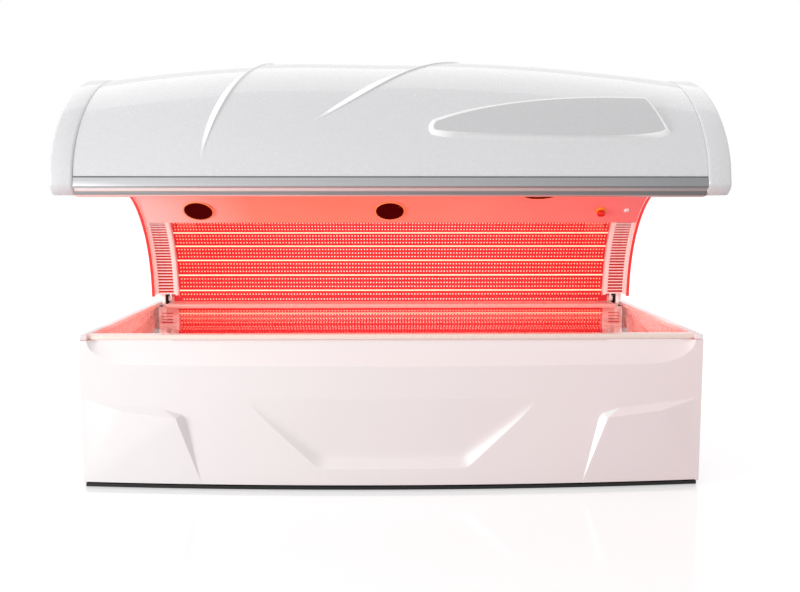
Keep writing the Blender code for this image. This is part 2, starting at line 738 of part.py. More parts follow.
frame = bmesh.new()
add_box(frame, (-post_out, post_out), (front_rail_y - TUBE / 2, front_rail_y + TUBE / 2),
        (rail_low, rail_high))
chassis = finish("chassis_frame", frame, STEEL)
members = [chassis_member((-post_out, post_out), (rear_rail_y - TUBE / 2, rear_rail_y + TUBE / 2),
                          (rail_low, rail_high))]
for x_middle in (-CROSS_X, 0.0, CROSS_X):
    members.append(chassis_member((x_middle - TUBE / 2, x_middle + TUBE / 2),
                                  (front_rail_y, rear_rail_y), (rail_low, rail_high)))
for side in (-1, 1):
    post_x = (side * post_in, side * post_out) if side > 0 else (-post_out, -post_in)
    members.append(chassis_member(post_x, (front_rail_y - TUBE / 2, front_rail_y + TUBE / 2),
                                  (rail_high - 0.010, shelf_top)))
    members.append(chassis_member(post_x, (rear_post, rear_post + TUBE),
                                  (rail_low, RIM_HEIGHT - POST_HEAD_DROP)))
    members.append(chassis_member(post_x, (front_rail_y, rear_post + 0.010),
                                  (shelf_top - TUBE_THIN, shelf_top)))
    members.append(chassis_member(post_x, (rear_post, rear_rail_y), (rail_low, rail_high)))
combine(chassis, members, "UNION")

for side, word in ((-1, "left"), (1, "right")):
    for y_middle, end_word in ((front_rail_y, "front"), (rear_rail_y, "rear")):
        foot = bmesh.new()
        add_turned(foot, [(0, 0), (FOOT_RADIUS, 0), (FOOT_RADIUS, FOOT_PAD * 0.6),
                          (FOOT_STEM * 1.4, FOOT_PAD), (FOOT_STEM, FOOT_PAD + 0.002),
                          (FOOT_STEM, FOOT_HEIGHT), (0, FOOT_HEIGHT)],
                   along_z, 16, (side * (half_base - FOOT_INSET), y_middle))
        finish("foot_" + end_word + "_" + word, foot, RUBBER)

# Equipment in the base: a sheet floor with the power supply and the control box, and the mains inlet
equipment_low = rail_high + GAP
equipment_top = equipment_low + EQUIPMENT_SHEET
equipment_front = front_rail_y - TUBE / 2
equipment_y = rim_front + EQUIPMENT_SETBACK


def add_block(node_name, size, middle_x, middle_y, low, look):
    block = bmesh.new()
    add_box(block, (middle_x - size[0] / 2, middle_x + size[0] / 2),
            (middle_y - size[1] / 2, middle_y + size[1] / 2), (low, low + size[2]))
    finish(node_name, block, look)


floor_sheet = bmesh.new()
add_box(floor_sheet, (-EQUIPMENT_HALF, EQUIPMENT_HALF), (equipment_front, equipment_front + EQUIPMENT_DEPTH),
        (equipment_low, equipment_top))
finish("equipment_floor", floor_sheet, STEEL)
add_block("power_supply", SUPPLY_SIZE, SUPPLY_X, equipment_y, equipment_top + GAP, ALUMINIUM)
add_block("control_box", CONTROLS_SIZE, CONTROLS_X, equipment_y, equipment_top + GAP, STEEL)
add_block("mains_inlet", INLET_SIZE, half_base - INLET_INSET, rear_face - SHEET - GAP - INLET_SIZE[1] / 2,
          INLET_Z - INLET_SIZE[2] / 2, BLACK_PLASTIC)


# Fans: a duct with a three-armed spider behind, and a rotor turning in it
def fan_duct(name, place, near, look):
    """The duct runs from near outwards along w, and its motor hub faces the rotor."""
    duct = bmesh.new()
    far = near + FAN_LENGTH
    add_turned(duct, [(FAN_RADIUS, near), (FAN_RADIUS, far), (FAN_RADIUS - FAN_WALL, far),
                      (FAN_RADIUS - FAN_WALL, near)], place, 24)
    node = finish(name, duct, look)
    hub = bmesh.new()
    add_extrusion(hub, circle(FAN_HUB, 16), far - FAN_MOTOR, far, place)
    tools = [finish("motor_hub", hub, look)]
    for turn in range(3):
        angle = math.radians(120 * turn + 15)
        along = (math.cos(angle), math.sin(angle))
        across = (-along[1] * 0.004, along[0] * 0.004)
        reach = FAN_RADIUS - FAN_WALL / 2
        outline = [(along[0] * r + sign * across[0], along[1] * r + sign * across[1])
                   for r, sign in ((0.010, -1), (reach, -1), (reach, 1), (0.010, 1))]
        arm = bmesh.new()
        add_extrusion(arm, outline, far - 0.005, far - 0.001, place)
        tools.append(finish("spider_arm", arm, look))
    return combine(node, tools, "UNION")


def fan_rotor(name, place, near, look):
    """Hub and pitched blades in one moulding, just in front of the motor hub."""
    low = near + 0.010
    high = near + FAN_LENGTH - FAN_MOTOR - GAP * 2
    tip = FAN_RADIUS - FAN_WALL - FAN_TIP_GAP
    middle = (low + high) / 2
    half = (high - low) / 2
    corners = ((0.0, FAN_HUB, 0.0, 1.0), (0.25, tip, 0.6, 0.25), (0.75, tip, -0.6, 0.25),
               (0.62, FAN_HUB, 0.0, 1.0))
    rotor = bmesh.new()
    blades = []
    for blade in range(FAN_BLADES):
        start = 2 * math.pi * blade / FAN_BLADES
        spots = []
        for angle, radius, lift, thick in corners:
            u = radius * math.cos(start + angle)
            v = radius * math.sin(start + angle)
            levels = [middle + half * (lift + sign * thick) for sign in (-1, 1)]
            spots.append([rotor.verts.new(place(u, v, level)) for level in levels])
        blades.append(spots)
    for level in (0, 1):
        rotor.faces.new([blades[blade][corner][level] for blade in range(FAN_BLADES) for corner in (0, 3)])
        for spots in blades:
            rotor.faces.new([spots[corner][level] for corner in (0, 1, 2)])
            rotor.faces.new([spots[corner][level] for corner in (0, 2, 3)])
    for blade in range(FAN_BLADES):
        path = blades[blade] + [blades[(blade + 1) % FAN_BLADES][0]]
        for first, second in zip(path, path[1:]):
            rotor.faces.new((first[0], second[0], second[1]))
            rotor.faces.new((first[0], second[1], first[1]))
    return finish(name, rotor, look)


def add_grille(mesh_data, place, radius, low, high, sectors, rings):
    """A round guard: a hub, ring bars and spokes with slots between them."""
    steps = sectors * 4
    angles = [2 * math.pi * step / steps for step in range(steps)]
    radii = [radius * 0.14]
    for ring in range(rings):
        radii.append(radius * (0.14 + 0.76 * (ring + 0.55) / rings))
        radii.append(radius * (0.14 + 0.76 * (ring + 1.0) / rings))
    radii.append(radius)
    levels = {}
    for level in (low, high):
        levels[level] = []
        for r in radii:
            spots = [place(r * math.cos(a), r * math.sin(a), level) for a in angles]
            levels[level].append([mesh_data.verts.new(spot) for spot in spots])
        mesh_data.faces.new(levels[level][0])

    def solid(ring, step):
        return ring >= len(radii) - 2 or ring % 2 == 1 or step % 4 == 0

    for ring in range(len(radii) - 1):
        for step in range(steps):
            after = (step + 1) % steps
            if not solid(ring, step):
                continue
            around = [(ring, step), (ring + 1, step), (ring + 1, after), (ring, after)]
            mesh_data.faces.new([levels[low][r][s] for r, s in around])
            mesh_data.faces.new([levels[high][r][s] for r, s in reversed(around)])
            sides = [((ring, step), (ring + 1, step), ring, (step - 1) % steps),
                     ((ring + 1, step), (ring + 1, after), ring + 1, step),
                     ((ring + 1, after), (ring, after), ring, after),
                     ((ring, after), (ring, step), ring - 1, step)]
            for first, second, next_ring, next_step in sides:
                within = -1 < next_ring < len(radii) - 1
                filled = next_ring == -1 or (within and solid(next_ring, next_step))
                if not filled:
                    mesh_data.faces.new((levels[low][first[0]][first[1]],
                                         levels[low][second[0]][second[1]],
                                         levels[high][second[0]][second[1]],
                                         levels[high][first[0]][first[1]]))
    for step in range(steps):
        after = (step + 1) % steps
        if not solid(0, step):
            mesh_data.faces.new((levels[low][0][step], levels[low][0][after],
                                 levels[high][0][after], levels[high][0][step]))


def rear_fan_place(u, v, w):
    return Vector((BASE_FAN_X + u, rear_face - SHEET - GAP - w, BASE_FAN_Z + v))


fan_duct("base_fan_duct", rear_fan_place, 0.0, BLACK_PLASTIC)
fan_rotor("base_fan_rotor", rear_fan_place, 0.0, BLACK_PLASTIC)

# Hinge: plates with stub pins on the rear posts, and canopy arms with a lever for the gas springs
bracket_in = arm_x + ARM_THICKNESS / 2 + BRACKET_CLEARANCE
for side, word in ((-1, "left"), (1, "right")):
    bracket = bmesh.new()
    outline = [(rear_post + TUBE, hinge_z - 0.120), (rear_post + TUBE, hinge_z - 0.030),
               (hinge_y + 0.020, hinge_z + 0.022), (hinge_y - 0.020, hinge_z + 0.022),
               (hinge_y - 0.022, hinge_z - 0.020), (rear_post, hinge_z - 0.120)]
    add_extrusion(bracket, outline, side * bracket_in, side * (post_in - GAP), along_x)
    head = side * (arm_x - ARM_THICKNESS / 2 - GAP)
    pin = bmesh.new()
    add_turned(pin, [(0, head - side * HINGE_HEAD), (HINGE_PIN_RADIUS * 1.5, head - side * HINGE_HEAD),
                     (HINGE_PIN_RADIUS * 1.5, head), (HINGE_PIN_RADIUS, head),
                     (HINGE_PIN_RADIUS, side * (bracket_in + 0.004)), (0, side * (bracket_in + 0.004))],
               along_x, 20, (hinge_y, hinge_z))
    ear = bmesh.new()
    ear_ends = sorted((side * bracket_in, side * (plate_inner - EAR_END_CLEARANCE)))
    add_box(ear, ear_ends, (hinge_y + EAR_SETBACK, hinge_y + EAR_SETBACK + EAR_SHEET),
            (RIM_HEIGHT + EAR_RIM_CLEARANCE, hinge_z + EAR_RISE))
    tools = [finish("pin", pin, STEEL), finish("ear", ear, STEEL)]
    combine(finish("hinge_bracket_" + word, bracket, STEEL), tools, "UNION")

arm_outer = arm_inner + ARM_BAND
stud_reach = SPRING_EYE_DEPTH / 2 + STUD_RADIUS * 0.6
for side, word in ((-1, "left"), (1, "right")):
    outline = arc_band(arm_inner, arm_outer, 6.0, 114.0, 18)
    outline += [(hinge_y + HINGE_EYE_RADIUS, hinge_z + 0.020), (hinge_y + HINGE_EYE_RADIUS, hinge_z - 0.010),
                (hinge_y + LEVER_HALF_WIDTH, hinge_z - 0.030),
                (hinge_y + LEVER_HALF_WIDTH, stud_z - LEVER_HALF_WIDTH * 0.4),
                (hinge_y + LEVER_HALF_WIDTH * 0.4, stud_z - LEVER_HALF_WIDTH),
                (stud_y - LEVER_HALF_WIDTH * 0.5, stud_z - LEVER_HALF_WIDTH),
                (stud_y - LEVER_HALF_WIDTH, stud_z - LEVER_HALF_WIDTH * 0.5),
                (stud_y - LEVER_HALF_WIDTH, stud_z + LEVER_HALF_WIDTH * 0.5),
                (stud_y - LEVER_HALF_WIDTH * 0.5, stud_z + LEVER_HALF_WIDTH),
                (hinge_y - LEVER_HALF_WIDTH, stud_z + LEVER_HALF_WIDTH),
                (hinge_y - LEVER_HALF_WIDTH, hinge_z - 0.025), (hinge_y - HINGE_EYE_RADIUS, hinge_z - 0.010),
                (hinge_y - HINGE_EYE_RADIUS, hinge_z + 0.010)]
    arm = bmesh.new()
    arm_near = side * (arm_x - ARM_THICKNESS / 2)
    arm_far = side * (arm_x + ARM_THICKNESS / 2)
    add_extrusion(arm, outline, arm_near, arm_far, along_x)
    arm_node = finish("hinge_arm_" + word, arm, STEEL)
    cutter = bmesh.new()
    add_extrusion(cutter, circle(HINGE_PIN_RADIUS + GAP, 20, (hinge_y, hinge_z)),
                  arm_near - side * 0.010, arm_far + side * 0.010, along_x)
    combine(arm_node, [finish("eye", cutter, STEEL)], "DIFFERENCE")
    stud = bmesh.new()
    add_extrusion(stud, circle(STUD_RADIUS, 16, (stud_y, stud_z)), side * (spring_x - stud_reach),
                  arm_near + side * ARM_THICKNESS / 2, along_x)
    combine(arm_node, [finish("stud", stud, STEEL)], "UNION")


# Gas springs. The arm's stud runs on an arc, while the tube swings and the rod slides at steady rates,
# so the rod ends in a window that holds the stud with just the play between the arc and its chord.
def stud_from_foot(degrees):
    """Distance and direction of the arm's stud from the spring's foot, with the canopy turned down."""
    turn = math.radians(degrees)
    y = hinge_y - LEVER_FORWARD * math.cos(turn) + LEVER_DOWN * math.sin(turn) - spring_foot_y
    z = hinge_z - LEVER_FORWARD * math.sin(turn) - LEVER_DOWN * math.cos(turn) - spring_foot_z
    return math.hypot(y, z), math.atan2(z, y)


open_length, open_angle = stud_from_foot(0.0)
middle_length, middle_angle = stud_from_foot(CLOSING_ANGLE / 2)
closed_length, closed_angle = stud_from_foot(CLOSING_ANGLE)
length_play = middle_length - (open_length + closed_length) / 2
angle_play = middle_angle - (open_angle + closed_angle) / 2
spring_length = open_length + length_play / 2
spring_angle = open_angle + angle_play / 2
spring_along = (math.cos(spring_angle), math.sin(spring_angle))
window_long = STUD_RADIUS + abs(length_play) / 2 + SPRING_EYE_PLAY
window_wide = STUD_RADIUS + abs(angle_play) * open_length / 2 + SPRING_EYE_PLAY
eye_long = window_long + SPRING_EYE_WALL
eye_wide = window_wide + SPRING_EYE_WALL
spring_tube_end = spring_length - (open_length - closed_length) - eye_long - SPRING_GLAND


def on_spring(x_middle):
    """A frame on the gas spring: u along the bed, v across the spring, w along it from its foot."""
    def place(u, v, w):
        return Vector((x_middle + u, spring_foot_y + spring_along[0] * w - spring_along[1] * v,
                       spring_foot_z + spring_along[1] * w + spring_along[0] * v))

    return place


def across_spring(x_middle):
    """The same frame with its depth across the spring's plane, for eyes and slots."""
    place = on_spring(x_middle)

    def turned_place(w, v, u):
        return place(u, v, w)

    return turned_place


tabs = []
for side in (-1, 1):
    plate_near = side * (spring_x + SPRING_TUBE_RADIUS + TAB_CLEARANCE)
    plate_far = plate_near + side * TAB_SHEET
    tab = bmesh.new()
    add_extrusion(tab, [(spring_foot_y - 0.018, rail_high - 0.004),
                        (spring_foot_y + 0.018, rail_high - 0.004),
                        (spring_foot_y + 0.012, spring_foot_z + 0.012),
                        (spring_foot_y - 0.012, spring_foot_z + 0.012)], plate_near, plate_far, along_x)
    stud = bmesh.new()
    add_extrusion(stud, circle(STUD_RADIUS, 16, (spring_foot_y, spring_foot_z)),
                  side * (spring_x - stud_reach), plate_near + side * TAB_SHEET / 2, along_x)
    tabs += [finish("tab", tab, STEEL), finish("tab_stud", stud, STEEL)]
combine(chassis, tabs, "UNION")

eye_radius = STUD_RADIUS + SPRING_EYE_WALL
eye_half = SPRING_EYE_DEPTH / 2
spring_bore = SPRING_TUBE_RADIUS - SPRING_TUBE_WALL
for side, word in ((-1, "left"), (1, "right")):
    tube = bmesh.new()
    foot = eye_radius - 0.001
    add_turned(tube, [(0, foot), (SPRING_TUBE_RADIUS * 0.7, foot), (SPRING_TUBE_RADIUS, foot + 0.006),
                      (SPRING_TUBE_RADIUS, spring_tube_end), (SPRING_ROD_RADIUS + GAP * 2, spring_tube_end),
                      (SPRING_ROD_RADIUS + GAP * 2, spring_tube_end - SPRING_GLAND),
                      (spring_bore, spring_tube_end - SPRING_GLAND), (spring_bore, foot + 0.012),
                      (0, foot + 0.012)],
               on_spring(side * spring_x), 14)
    tube_node = finish("gas_spring_tube_" + word, tube, BLACK_PLASTIC)
    eye = bmesh.new()
    add_turned(eye, [(eye_radius, -eye_half), (eye_radius, eye_half), (STUD_RADIUS + GAP, eye_half),
                     (STUD_RADIUS + GAP, -eye_half)], across_spring(side * spring_x), 16)
    combine(tube_node, [finish("foot_eye", eye, BLACK_PLASTIC)], "UNION")
    rod = bmesh.new()
    piston = spring_tube_end - SPRING_GLAND - 0.003
    rod_end = spring_length - window_long - SPRING_EYE_WALL / 2
    add_turned(rod, [(0, piston - 0.006), (spring_bore - GAP * 2, piston - 0.006),
                     (spring_bore - GAP * 2, piston),
                     (SPRING_ROD_RADIUS, piston), (SPRING_ROD_RADIUS, rod_end), (0, rod_end)],
               on_spring(side * spring_x), 12)
    rod_node = finish("gas_spring_rod_" + word, rod, STEEL)
    slot_eye = bmesh.new()
    block = [(spring_length - eye_long, -eye_wide), (spring_length + eye_long, -eye_wide),
             (spring_length + eye_long, eye_wide), (spring_length - eye_long, eye_wide)]
    add_extrusion(slot_eye, block, -eye_half, eye_half, across_spring(side * spring_x))
    slot_node = finish("slot_eye", slot_eye, STEEL)
    slot = bmesh.new()
    window = [(spring_length - window_long, -window_wide), (spring_length + window_long, -window_wide),
              (spring_length + window_long, window_wide), (spring_length - window_long, window_wide)]
    add_extrusion(slot, window, -SPRING_EYE_DEPTH, SPRING_EYE_DEPTH, across_spring(side * spring_x))
    combine(slot_node, [finish("slot", slot, STEEL)], "DIFFERENCE")
    combine(rod_node, [slot_node], "UNION")

# Canopy frame: rails between the two arms, joined by two curved ribs
rail_half = arm_x - ARM_THICKNESS / 2 - GAP
rail_in = tray_outer + GAP
rib_line = arc_band(rail_in + RIB_STANDOFF, rail_in + RAIL_SIZE * 0.8,
                    RAIL_ANGLES[0] - 1.0, RAIL_ANGLES[-1] + 1.0, 14)
rib = bmesh.new()
add_extrusion(rib, rib_line, -RIB_X - RIB_THICKNESS / 2, -RIB_X + RIB_THICKNESS / 2, along_x)
canopy_frame = finish("canopy_frame", rib, STEEL)
rib = bmesh.new()
add_extrusion(rib, rib_line, RIB_X - RIB_THICKNESS / 2, RIB_X + RIB_THICKNESS / 2, along_x)
tools = []
for angle in RAIL_ANGLES:
    place = on_cove(0.0, angle)
    outline = [(-RAIL_SIZE / 2, rail_in), (RAIL_SIZE / 2, rail_in), (RAIL_SIZE / 2, rail_in + RAIL_SIZE),
               (-RAIL_SIZE / 2, rail_in + RAIL_SIZE)]
    rail = bmesh.new()
    add_extrusion(rail, outline, -rail_half, rail_half, lambda v, w, u, place=place: place(u, v, w))
    tools.append(finish("rail", rail, STEEL))
tools.append(finish("rib", rib, STEEL))
combine(canopy_frame, tools, "UNION")

# Light trays, boards and clear covers of the canopy, behind and in front of the control strip
sections = (("rear", COVE_START, STRIP_START - STRIP_JOINT, 6),
            ("front", STRIP_END + STRIP_JOINT, COVE_END - 0.5, 4))
for word, start, end, steps in sections:
    tray = bmesh.new()
    add_extrusion(tray, arc_band(tray_inner, tray_outer, start, end, steps * 2),
                  -board_half - TRAY_END_MARGIN, board_half + TRAY_END_MARGIN, along_x)
    finish("canopy_led_tray_" + word, tray, ALUMINIUM)
    board = bmesh.new()
    add_extrusion(board, arc_band(board_inner, board_inner + BOARD_THICKNESS, start, end, steps * 2),
                  -board_half, board_half, along_x)
    finish("canopy_led_board_" + word, board, BOARD_RED)
    cover = bmesh.new()
    add_extrusion(cover, arc_band(acrylic_inner, COVE_RADIUS, start, end, steps * 2),
                  -cove_half, cove_half, along_x)
    finish("canopy_acrylic_" + word, cover, CLEAR)

# Vent plates at both ends of the rear light panel, each with a folded edge beside the lights
vent_arc_low = math.radians(COVE_START + 1.0) * vent_inner
vent_arc_high = math.radians(STRIP_START - STRIP_JOINT) * vent_inner


def on_vent(x, arc, radius):
    y, z = cove_point(radius, math.degrees(arc / vent_inner))
    return Vector((x, y, z))


def is_bar(column, row):
    return column != 1 or row % 2 == 0


for side, word in ((-1, "left"), (1, "right")):
    vent = bmesh.new()
    xs = [side * x for x in (divider_outer - DIVIDER_WIDTH / 2, slot_low_x, slot_high_x, cove_half)]
    add_sheet(vent, xs, slot_rows(vent_arc_low, vent_arc_high), is_bar, on_vent,
              vent_inner, vent_inner + VENT_SHEET)
    divider = bmesh.new()
    divider_line = arc_band(COVE_RADIUS + GAP, tray_inner - GAP, COVE_START + 0.5, STRIP_START - 0.5, 12)
    add_extrusion(divider, divider_line,
                  side * (divider_outer - DIVIDER_WIDTH), side * divider_outer, along_x)
    vent_node = finish("canopy_vent_" + word, vent, SHELL_WHITE)
    combine(vent_node, [finish("divider", divider, SHELL_WHITE)], "UNION")

# Control strip along the crown of the cove, with openings for fans, speaker and switches
strip = bmesh.new()
strip_inner = acrylic_inner - STRIP_PROUD
strip_outer = strip_inner + STRIP_SHEET
strip_line = arc_band(strip_inner, strip_outer, STRIP_START, STRIP_END, 14)
add_extrusion(strip, strip_line, -cove_half, cove_half, along_x)
strip_node = finish("control_strip", strip, PANEL_PINK)
cup_radius = SPEAKER_RADIUS - SPEAKER_CUP_INSET
openings = [(x, FAN_ANGLE, FAN_RADIUS + GAP, 24) for x in fan_positions]
openings += [(speaker_x, SPEAKER_ANGLE, cup_radius + GAP, 24),
             (stop_x, STOP_ANGLE, STOP_STEM_RADIUS + STOP_SLEEVE + GAP, 16),
             (start_x, STOP_ANGLE, START_RADIUS + START_SLEEVE + GAP, 16)]
cutters = []
for x, angle, radius, steps in openings:
    cutter = bmesh.new()
    add_extrusion(cutter, circle(radius, steps), strip_inner - 0.030, strip_outer + 0.030, on_cove(x, angle))
    cutters.append(finish("opening", cutter, PANEL_PINK))
combine(strip_node, cutters, "DIFFERENCE")


def flat_seat(radius):
    """Distance from the cove's axis at which a flat disc just clears the curved strip."""
    return math.sqrt(strip_inner ** 2 - radius ** 2) - GAP


grille_low = flat_seat(grille_radius) - GRILLE_THICKNESS - GRILLE_STANDOFF
fan_near = grille_low + GRILLE_THICKNESS + GAP
for x, word in zip(fan_positions, ("left", "centre")):
    grille = bmesh.new()
    add_grille(grille, on_cove(x, FAN_ANGLE), grille_radius, grille_low, grille_low + GRILLE_THICKNESS, 6, 2)
    finish("fan_grille_" + word, grille, DARK_METAL)
    fan_duct("fan_duct_" + word, on_cove(x, FAN_ANGLE), fan_near, BLACK_PLASTIC)
    fan_rotor("fan_rotor_" + word, on_cove(x, FAN_ANGLE), fan_near, BLACK_PLASTIC)

# Speaker: a grille and a driver cup behind it
place = on_cove(speaker_x, SPEAKER_ANGLE)
speaker_low = flat_seat(SPEAKER_RADIUS) - GRILLE_THICKNESS - GRILLE_STANDOFF
grille = bmesh.new()
add_grille(grille, place, SPEAKER_RADIUS, speaker_low, speaker_low + GRILLE_THICKNESS, 6, 2)
finish("speaker_grille", grille, DARK_METAL)
driver = bmesh.new()
cup = speaker_low + GRILLE_THICKNESS + GAP
cup_wall = 0.005
cone_back = cup + SPEAKER_CUP_DEPTH
add_turned(driver, [(0, cone_back - cup_wall), (cup_radius * 0.35, cone_back - cup_wall),
                    (cup_radius - cup_wall, cup + SPEAKER_CUP_DEPTH * 0.25), (cup_radius - cup_wall, cup),
                    (cup_radius, cup), (cup_radius, cup + SPEAKER_CUP_DEPTH * 0.4),
                    (cup_radius * 0.4, cone_back), (0, cone_back)], place, 24)
finish("speaker_driver", driver, BLACK_PLASTIC)

# Emergency stop: collar through the strip, pressed stem and twisting mushroom cap
place = on_cove(stop_x, STOP_ANGLE)
collar_seat = flat_seat(STOP_COLLAR_RADIUS)
collar = bmesh.new()
collar_bore = STOP_STEM_RADIUS + GAP
collar_front = collar_seat - STOP_COLLAR_HEIGHT
sleeve = STOP_STEM_RADIUS + STOP_SLEEVE
add_turned(collar, [(collar_bore, collar_front), (STOP_COLLAR_RADIUS * 0.8, collar_front),
                    (STOP_COLLAR_RADIUS, collar_seat - STOP_COLLAR_HEIGHT * 0.4),
                    (STOP_COLLAR_RADIUS, collar_seat),
                    (sleeve, collar_seat), (sleeve, collar_seat + SWITCH_BODY),
                    (collar_bore, collar_seat + SWITCH_BODY)], place, 20)
finish("stop_collar", collar, YELLOW)
cap_back = collar_front - STOP_TRAVEL - GAP * 2
stem = bmesh.new()
add_turned(stem, [(0, cap_back + GAP), (STOP_STEM_RADIUS, cap_back + GAP),
                  (STOP_STEM_RADIUS, collar_seat + SWITCH_BODY * 0.6),
                  (0, collar_seat + SWITCH_BODY * 0.6)], place, 20)
finish("stop_stem", stem, BLACK_PLASTIC)
mushroom = bmesh.new()
cap_front = cap_back - STOP_CAP_HEIGHT
add_turned(mushroom, [(0, cap_back), (STOP_CAP_RADIUS, cap_back),
                      (STOP_CAP_RADIUS, cap_back - STOP_CAP_HEIGHT * 0.4),
                      (STOP_CAP_RADIUS * 0.8, cap_back - STOP_CAP_HEIGHT * 0.8), (0, cap_front)], place, 20)
mushroom_node = finish("stop_cap", mushroom, RED)
rib = bmesh.new()
grip_half = STOP_CAP_RADIUS * 0.75
grip_side = STOP_CAP_RADIUS * 0.09
grip_line = [(-grip_half, -grip_side), (grip_half, -grip_side),
             (grip_half, grip_side), (-grip_half, grip_side)]
add_extrusion(rib, grip_line, cap_front - STOP_CAP_HEIGHT * 0.07, cap_back - STOP_CAP_HEIGHT * 0.5, place)
combine(mushroom_node, [finish("grip", rib, RED)], "UNION")

# Start button: bezel and sprung cap
place = on_cove(start_x, STOP_ANGLE)
bezel_seat = flat_seat(START_BEZEL_RADIUS)
bezel = bmesh.new()
bezel_bore = START_RADIUS + GAP
bezel_front = bezel_seat - START_BEZEL_HEIGHT
sleeve = START_RADIUS + START_SLEEVE
add_turned(bezel, [(bezel_bore, bezel_front), (START_BEZEL_RADIUS * 0.9, bezel_front),
                   (START_BEZEL_RADIUS, bezel_seat - START_BEZEL_HEIGHT * 0.3),
                   (START_BEZEL_RADIUS, bezel_seat),
                   (sleeve, bezel_seat), (sleeve, bezel_seat + SWITCH_BODY * 0.75),
                   (bezel_bore, bezel_seat + SWITCH_BODY * 0.75)], place, 20)
finish("start_bezel", bezel, ALUMINIUM)
button = bmesh.new()
button_front = bezel_front - START_TRAVEL
add_turned(button, [(0, button_front), (START_RADIUS * 0.85, button_front),
                    (START_RADIUS, button_front + START_RADIUS * 0.15),
                    (START_RADIUS, bezel_seat + SWITCH_BODY * 0.4),
                    (0, bezel_seat + SWITCH_BODY * 0.4)], place, 20)
finish("start_button", button, BLACK_PLASTIC)


# Canopy hood: creased shell, end caps with soffits, trim, lower rear skirt and trough side plates
def hood_rise(x):
    return HOOD_MID_HEIGHT - HOOD_END_DROP * (abs(x) / half_canopy) ** HOOD_CROWN_POWER


def hood_outline(rise, share, inset):
    """Point of the hood's cross-section at a share of the way from the front foot to the rear foot."""
    angle = math.pi * share
    cosine = math.cos(angle)
    sine = max(math.sin(angle), 0.0)
    power = 2 / (HOOD_FRONT_POWER if cosine > 0 else 2.0)
    reach = (HOOD_FRONT_REACH if cosine > 0 else HOOD_REAR_REACH) - inset
    y = hood_y - math.copysign(reach * abs(cosine) ** power, cosine)
    return y, hood_foot + (rise - inset) * sine ** power


def hood_normal(x, share):
    before = hood_outline(hood_rise(x), max(share - 0.01, 0.0), 0.0)
    after = hood_outline(hood_rise(x), min(share + 0.01, 1.0), 0.0)
    run = math.hypot(after[0] - before[0], after[1] - before[1])
    return (before[1] - after[1]) / run, (after[0] - before[0]) / run


def bezier(points, steps):
    a, b, c = points
    spots = []
    for step in range(steps + 1):
        t = step / steps
        spots.append(tuple(a[i] * (1 - t) ** 2 + 2 * b[i] * t * (1 - t) + c[i] * t ** 2 for i in range(2)))
    return spots


swoosh_creases = []
for points, top_rise in zip(SWOOSHES, SWOOSH_RISES):
    line = bezier(points, SWOOSH_STEPS)
    shares = [math.sin(math.pi / 2 * min(step / SWOOSH_STEPS * 2, 1.0)) for step in range(SWOOSH_STEPS)]
    shares.append(0.0)
    swoosh_creases.append([(x, share, top_rise * part) for (x, share), part in zip(line, shares)])
    swoosh_creases.append([(x + SWOOSH_WALL * part, share - SWOOSH_WALL * 0.3 * part, 0.0)
                           for (x, share), part in zip(line, shares)])
tear_end = [(cap_joint - inset, share) for inset, share in zip(TEAR_END_INSETS, TEAR_END_SHARES)]
tear_line = bezier((TEAR_TIP, TEAR_CROWN, tear_end[0]), TEAR_STEPS) + tear_end[1:] + [TEAR_HEEL, TEAR_TIP]


def inward(start, end):
    """Unit normal to the right of a step of a clockwise loop."""
    run = (end[0] - start[0], end[1] - start[1])
    length = math.hypot(*run)
    return run[1] / length, -run[0] / length


def inset_loop(points, distance):
    """A closed clockwise loop moved inwards by the given distance, with its sharp tips cut short."""
    moved = []
    for index in range(len(points) - 1):
        first = inward(points[index - 1] if index else points[-2], points[index])
        second = inward(points[index], points[index + 1])
        stretch = distance / max(1 + first[0] * second[0] + first[1] * second[1], 0.5)
        moved.append((points[index][0] + (first[0] + second[0]) * stretch,
                      points[index][1] + (first[1] + second[1]) * stretch))
    return moved + moved[:1]


tear_creases = [[(x, v, 0.0) for x, v in tear_line],
                [(x, v, TEAR_RISE) for x, v in inset_loop(tear_line, TEAR_WALL)]]


def in_tear(x, share):
    crossings = False
    for (x1, v1), (x2, v2) in zip(tear_line, tear_line[1:]):
        if (v1 > share) != (v2 > share) and x < x1 + (share - v1) * (x2 - x1) / (v2 - v1):
            crossings = not crossings
    return crossings


def hood_height(x, share):
    if in_tear(x, share):
        return TEAR_RISE
    for crease, blend in zip(swoosh_creases[::2], SWOOSH_BLENDS):
        for (x1, v1, rise1), (x2, v2, rise2) in zip(crease, crease[1:]):
            if v1 <= share < v2:
                part = (share - v1) / (v2 - v1)
                away = x1 + part * (x2 - x1) - x
                if 0 <= away < blend:
                    return (rise1 + part * (rise2 - rise1)) * (1 - away / blend)
    return 0.0


def hood_at(x, share, offset):
    y, z = hood_outline(hood_rise(x), share, 0.0)
    normal = hood_normal(x, share)
    return Vector((x, y + normal[0] * offset, z + normal[1] * offset))


shell = bmesh.new()
shell_half = cap_joint - GAP
add_sculpted(
    shell,
    swoosh_creases + tear_creases,
    (spread(-shell_half, shell_half, 18), spread(0.0, 1.0, 24)),
    hood_height,
    0.014,
    lambda x, share, rise: hood_at(x, share, rise),
    lambda x, share, rise: hood_at(x, share, rise - HOOD_WALL),
)
finish("canopy_shell", shell, SHELL_WHITE)


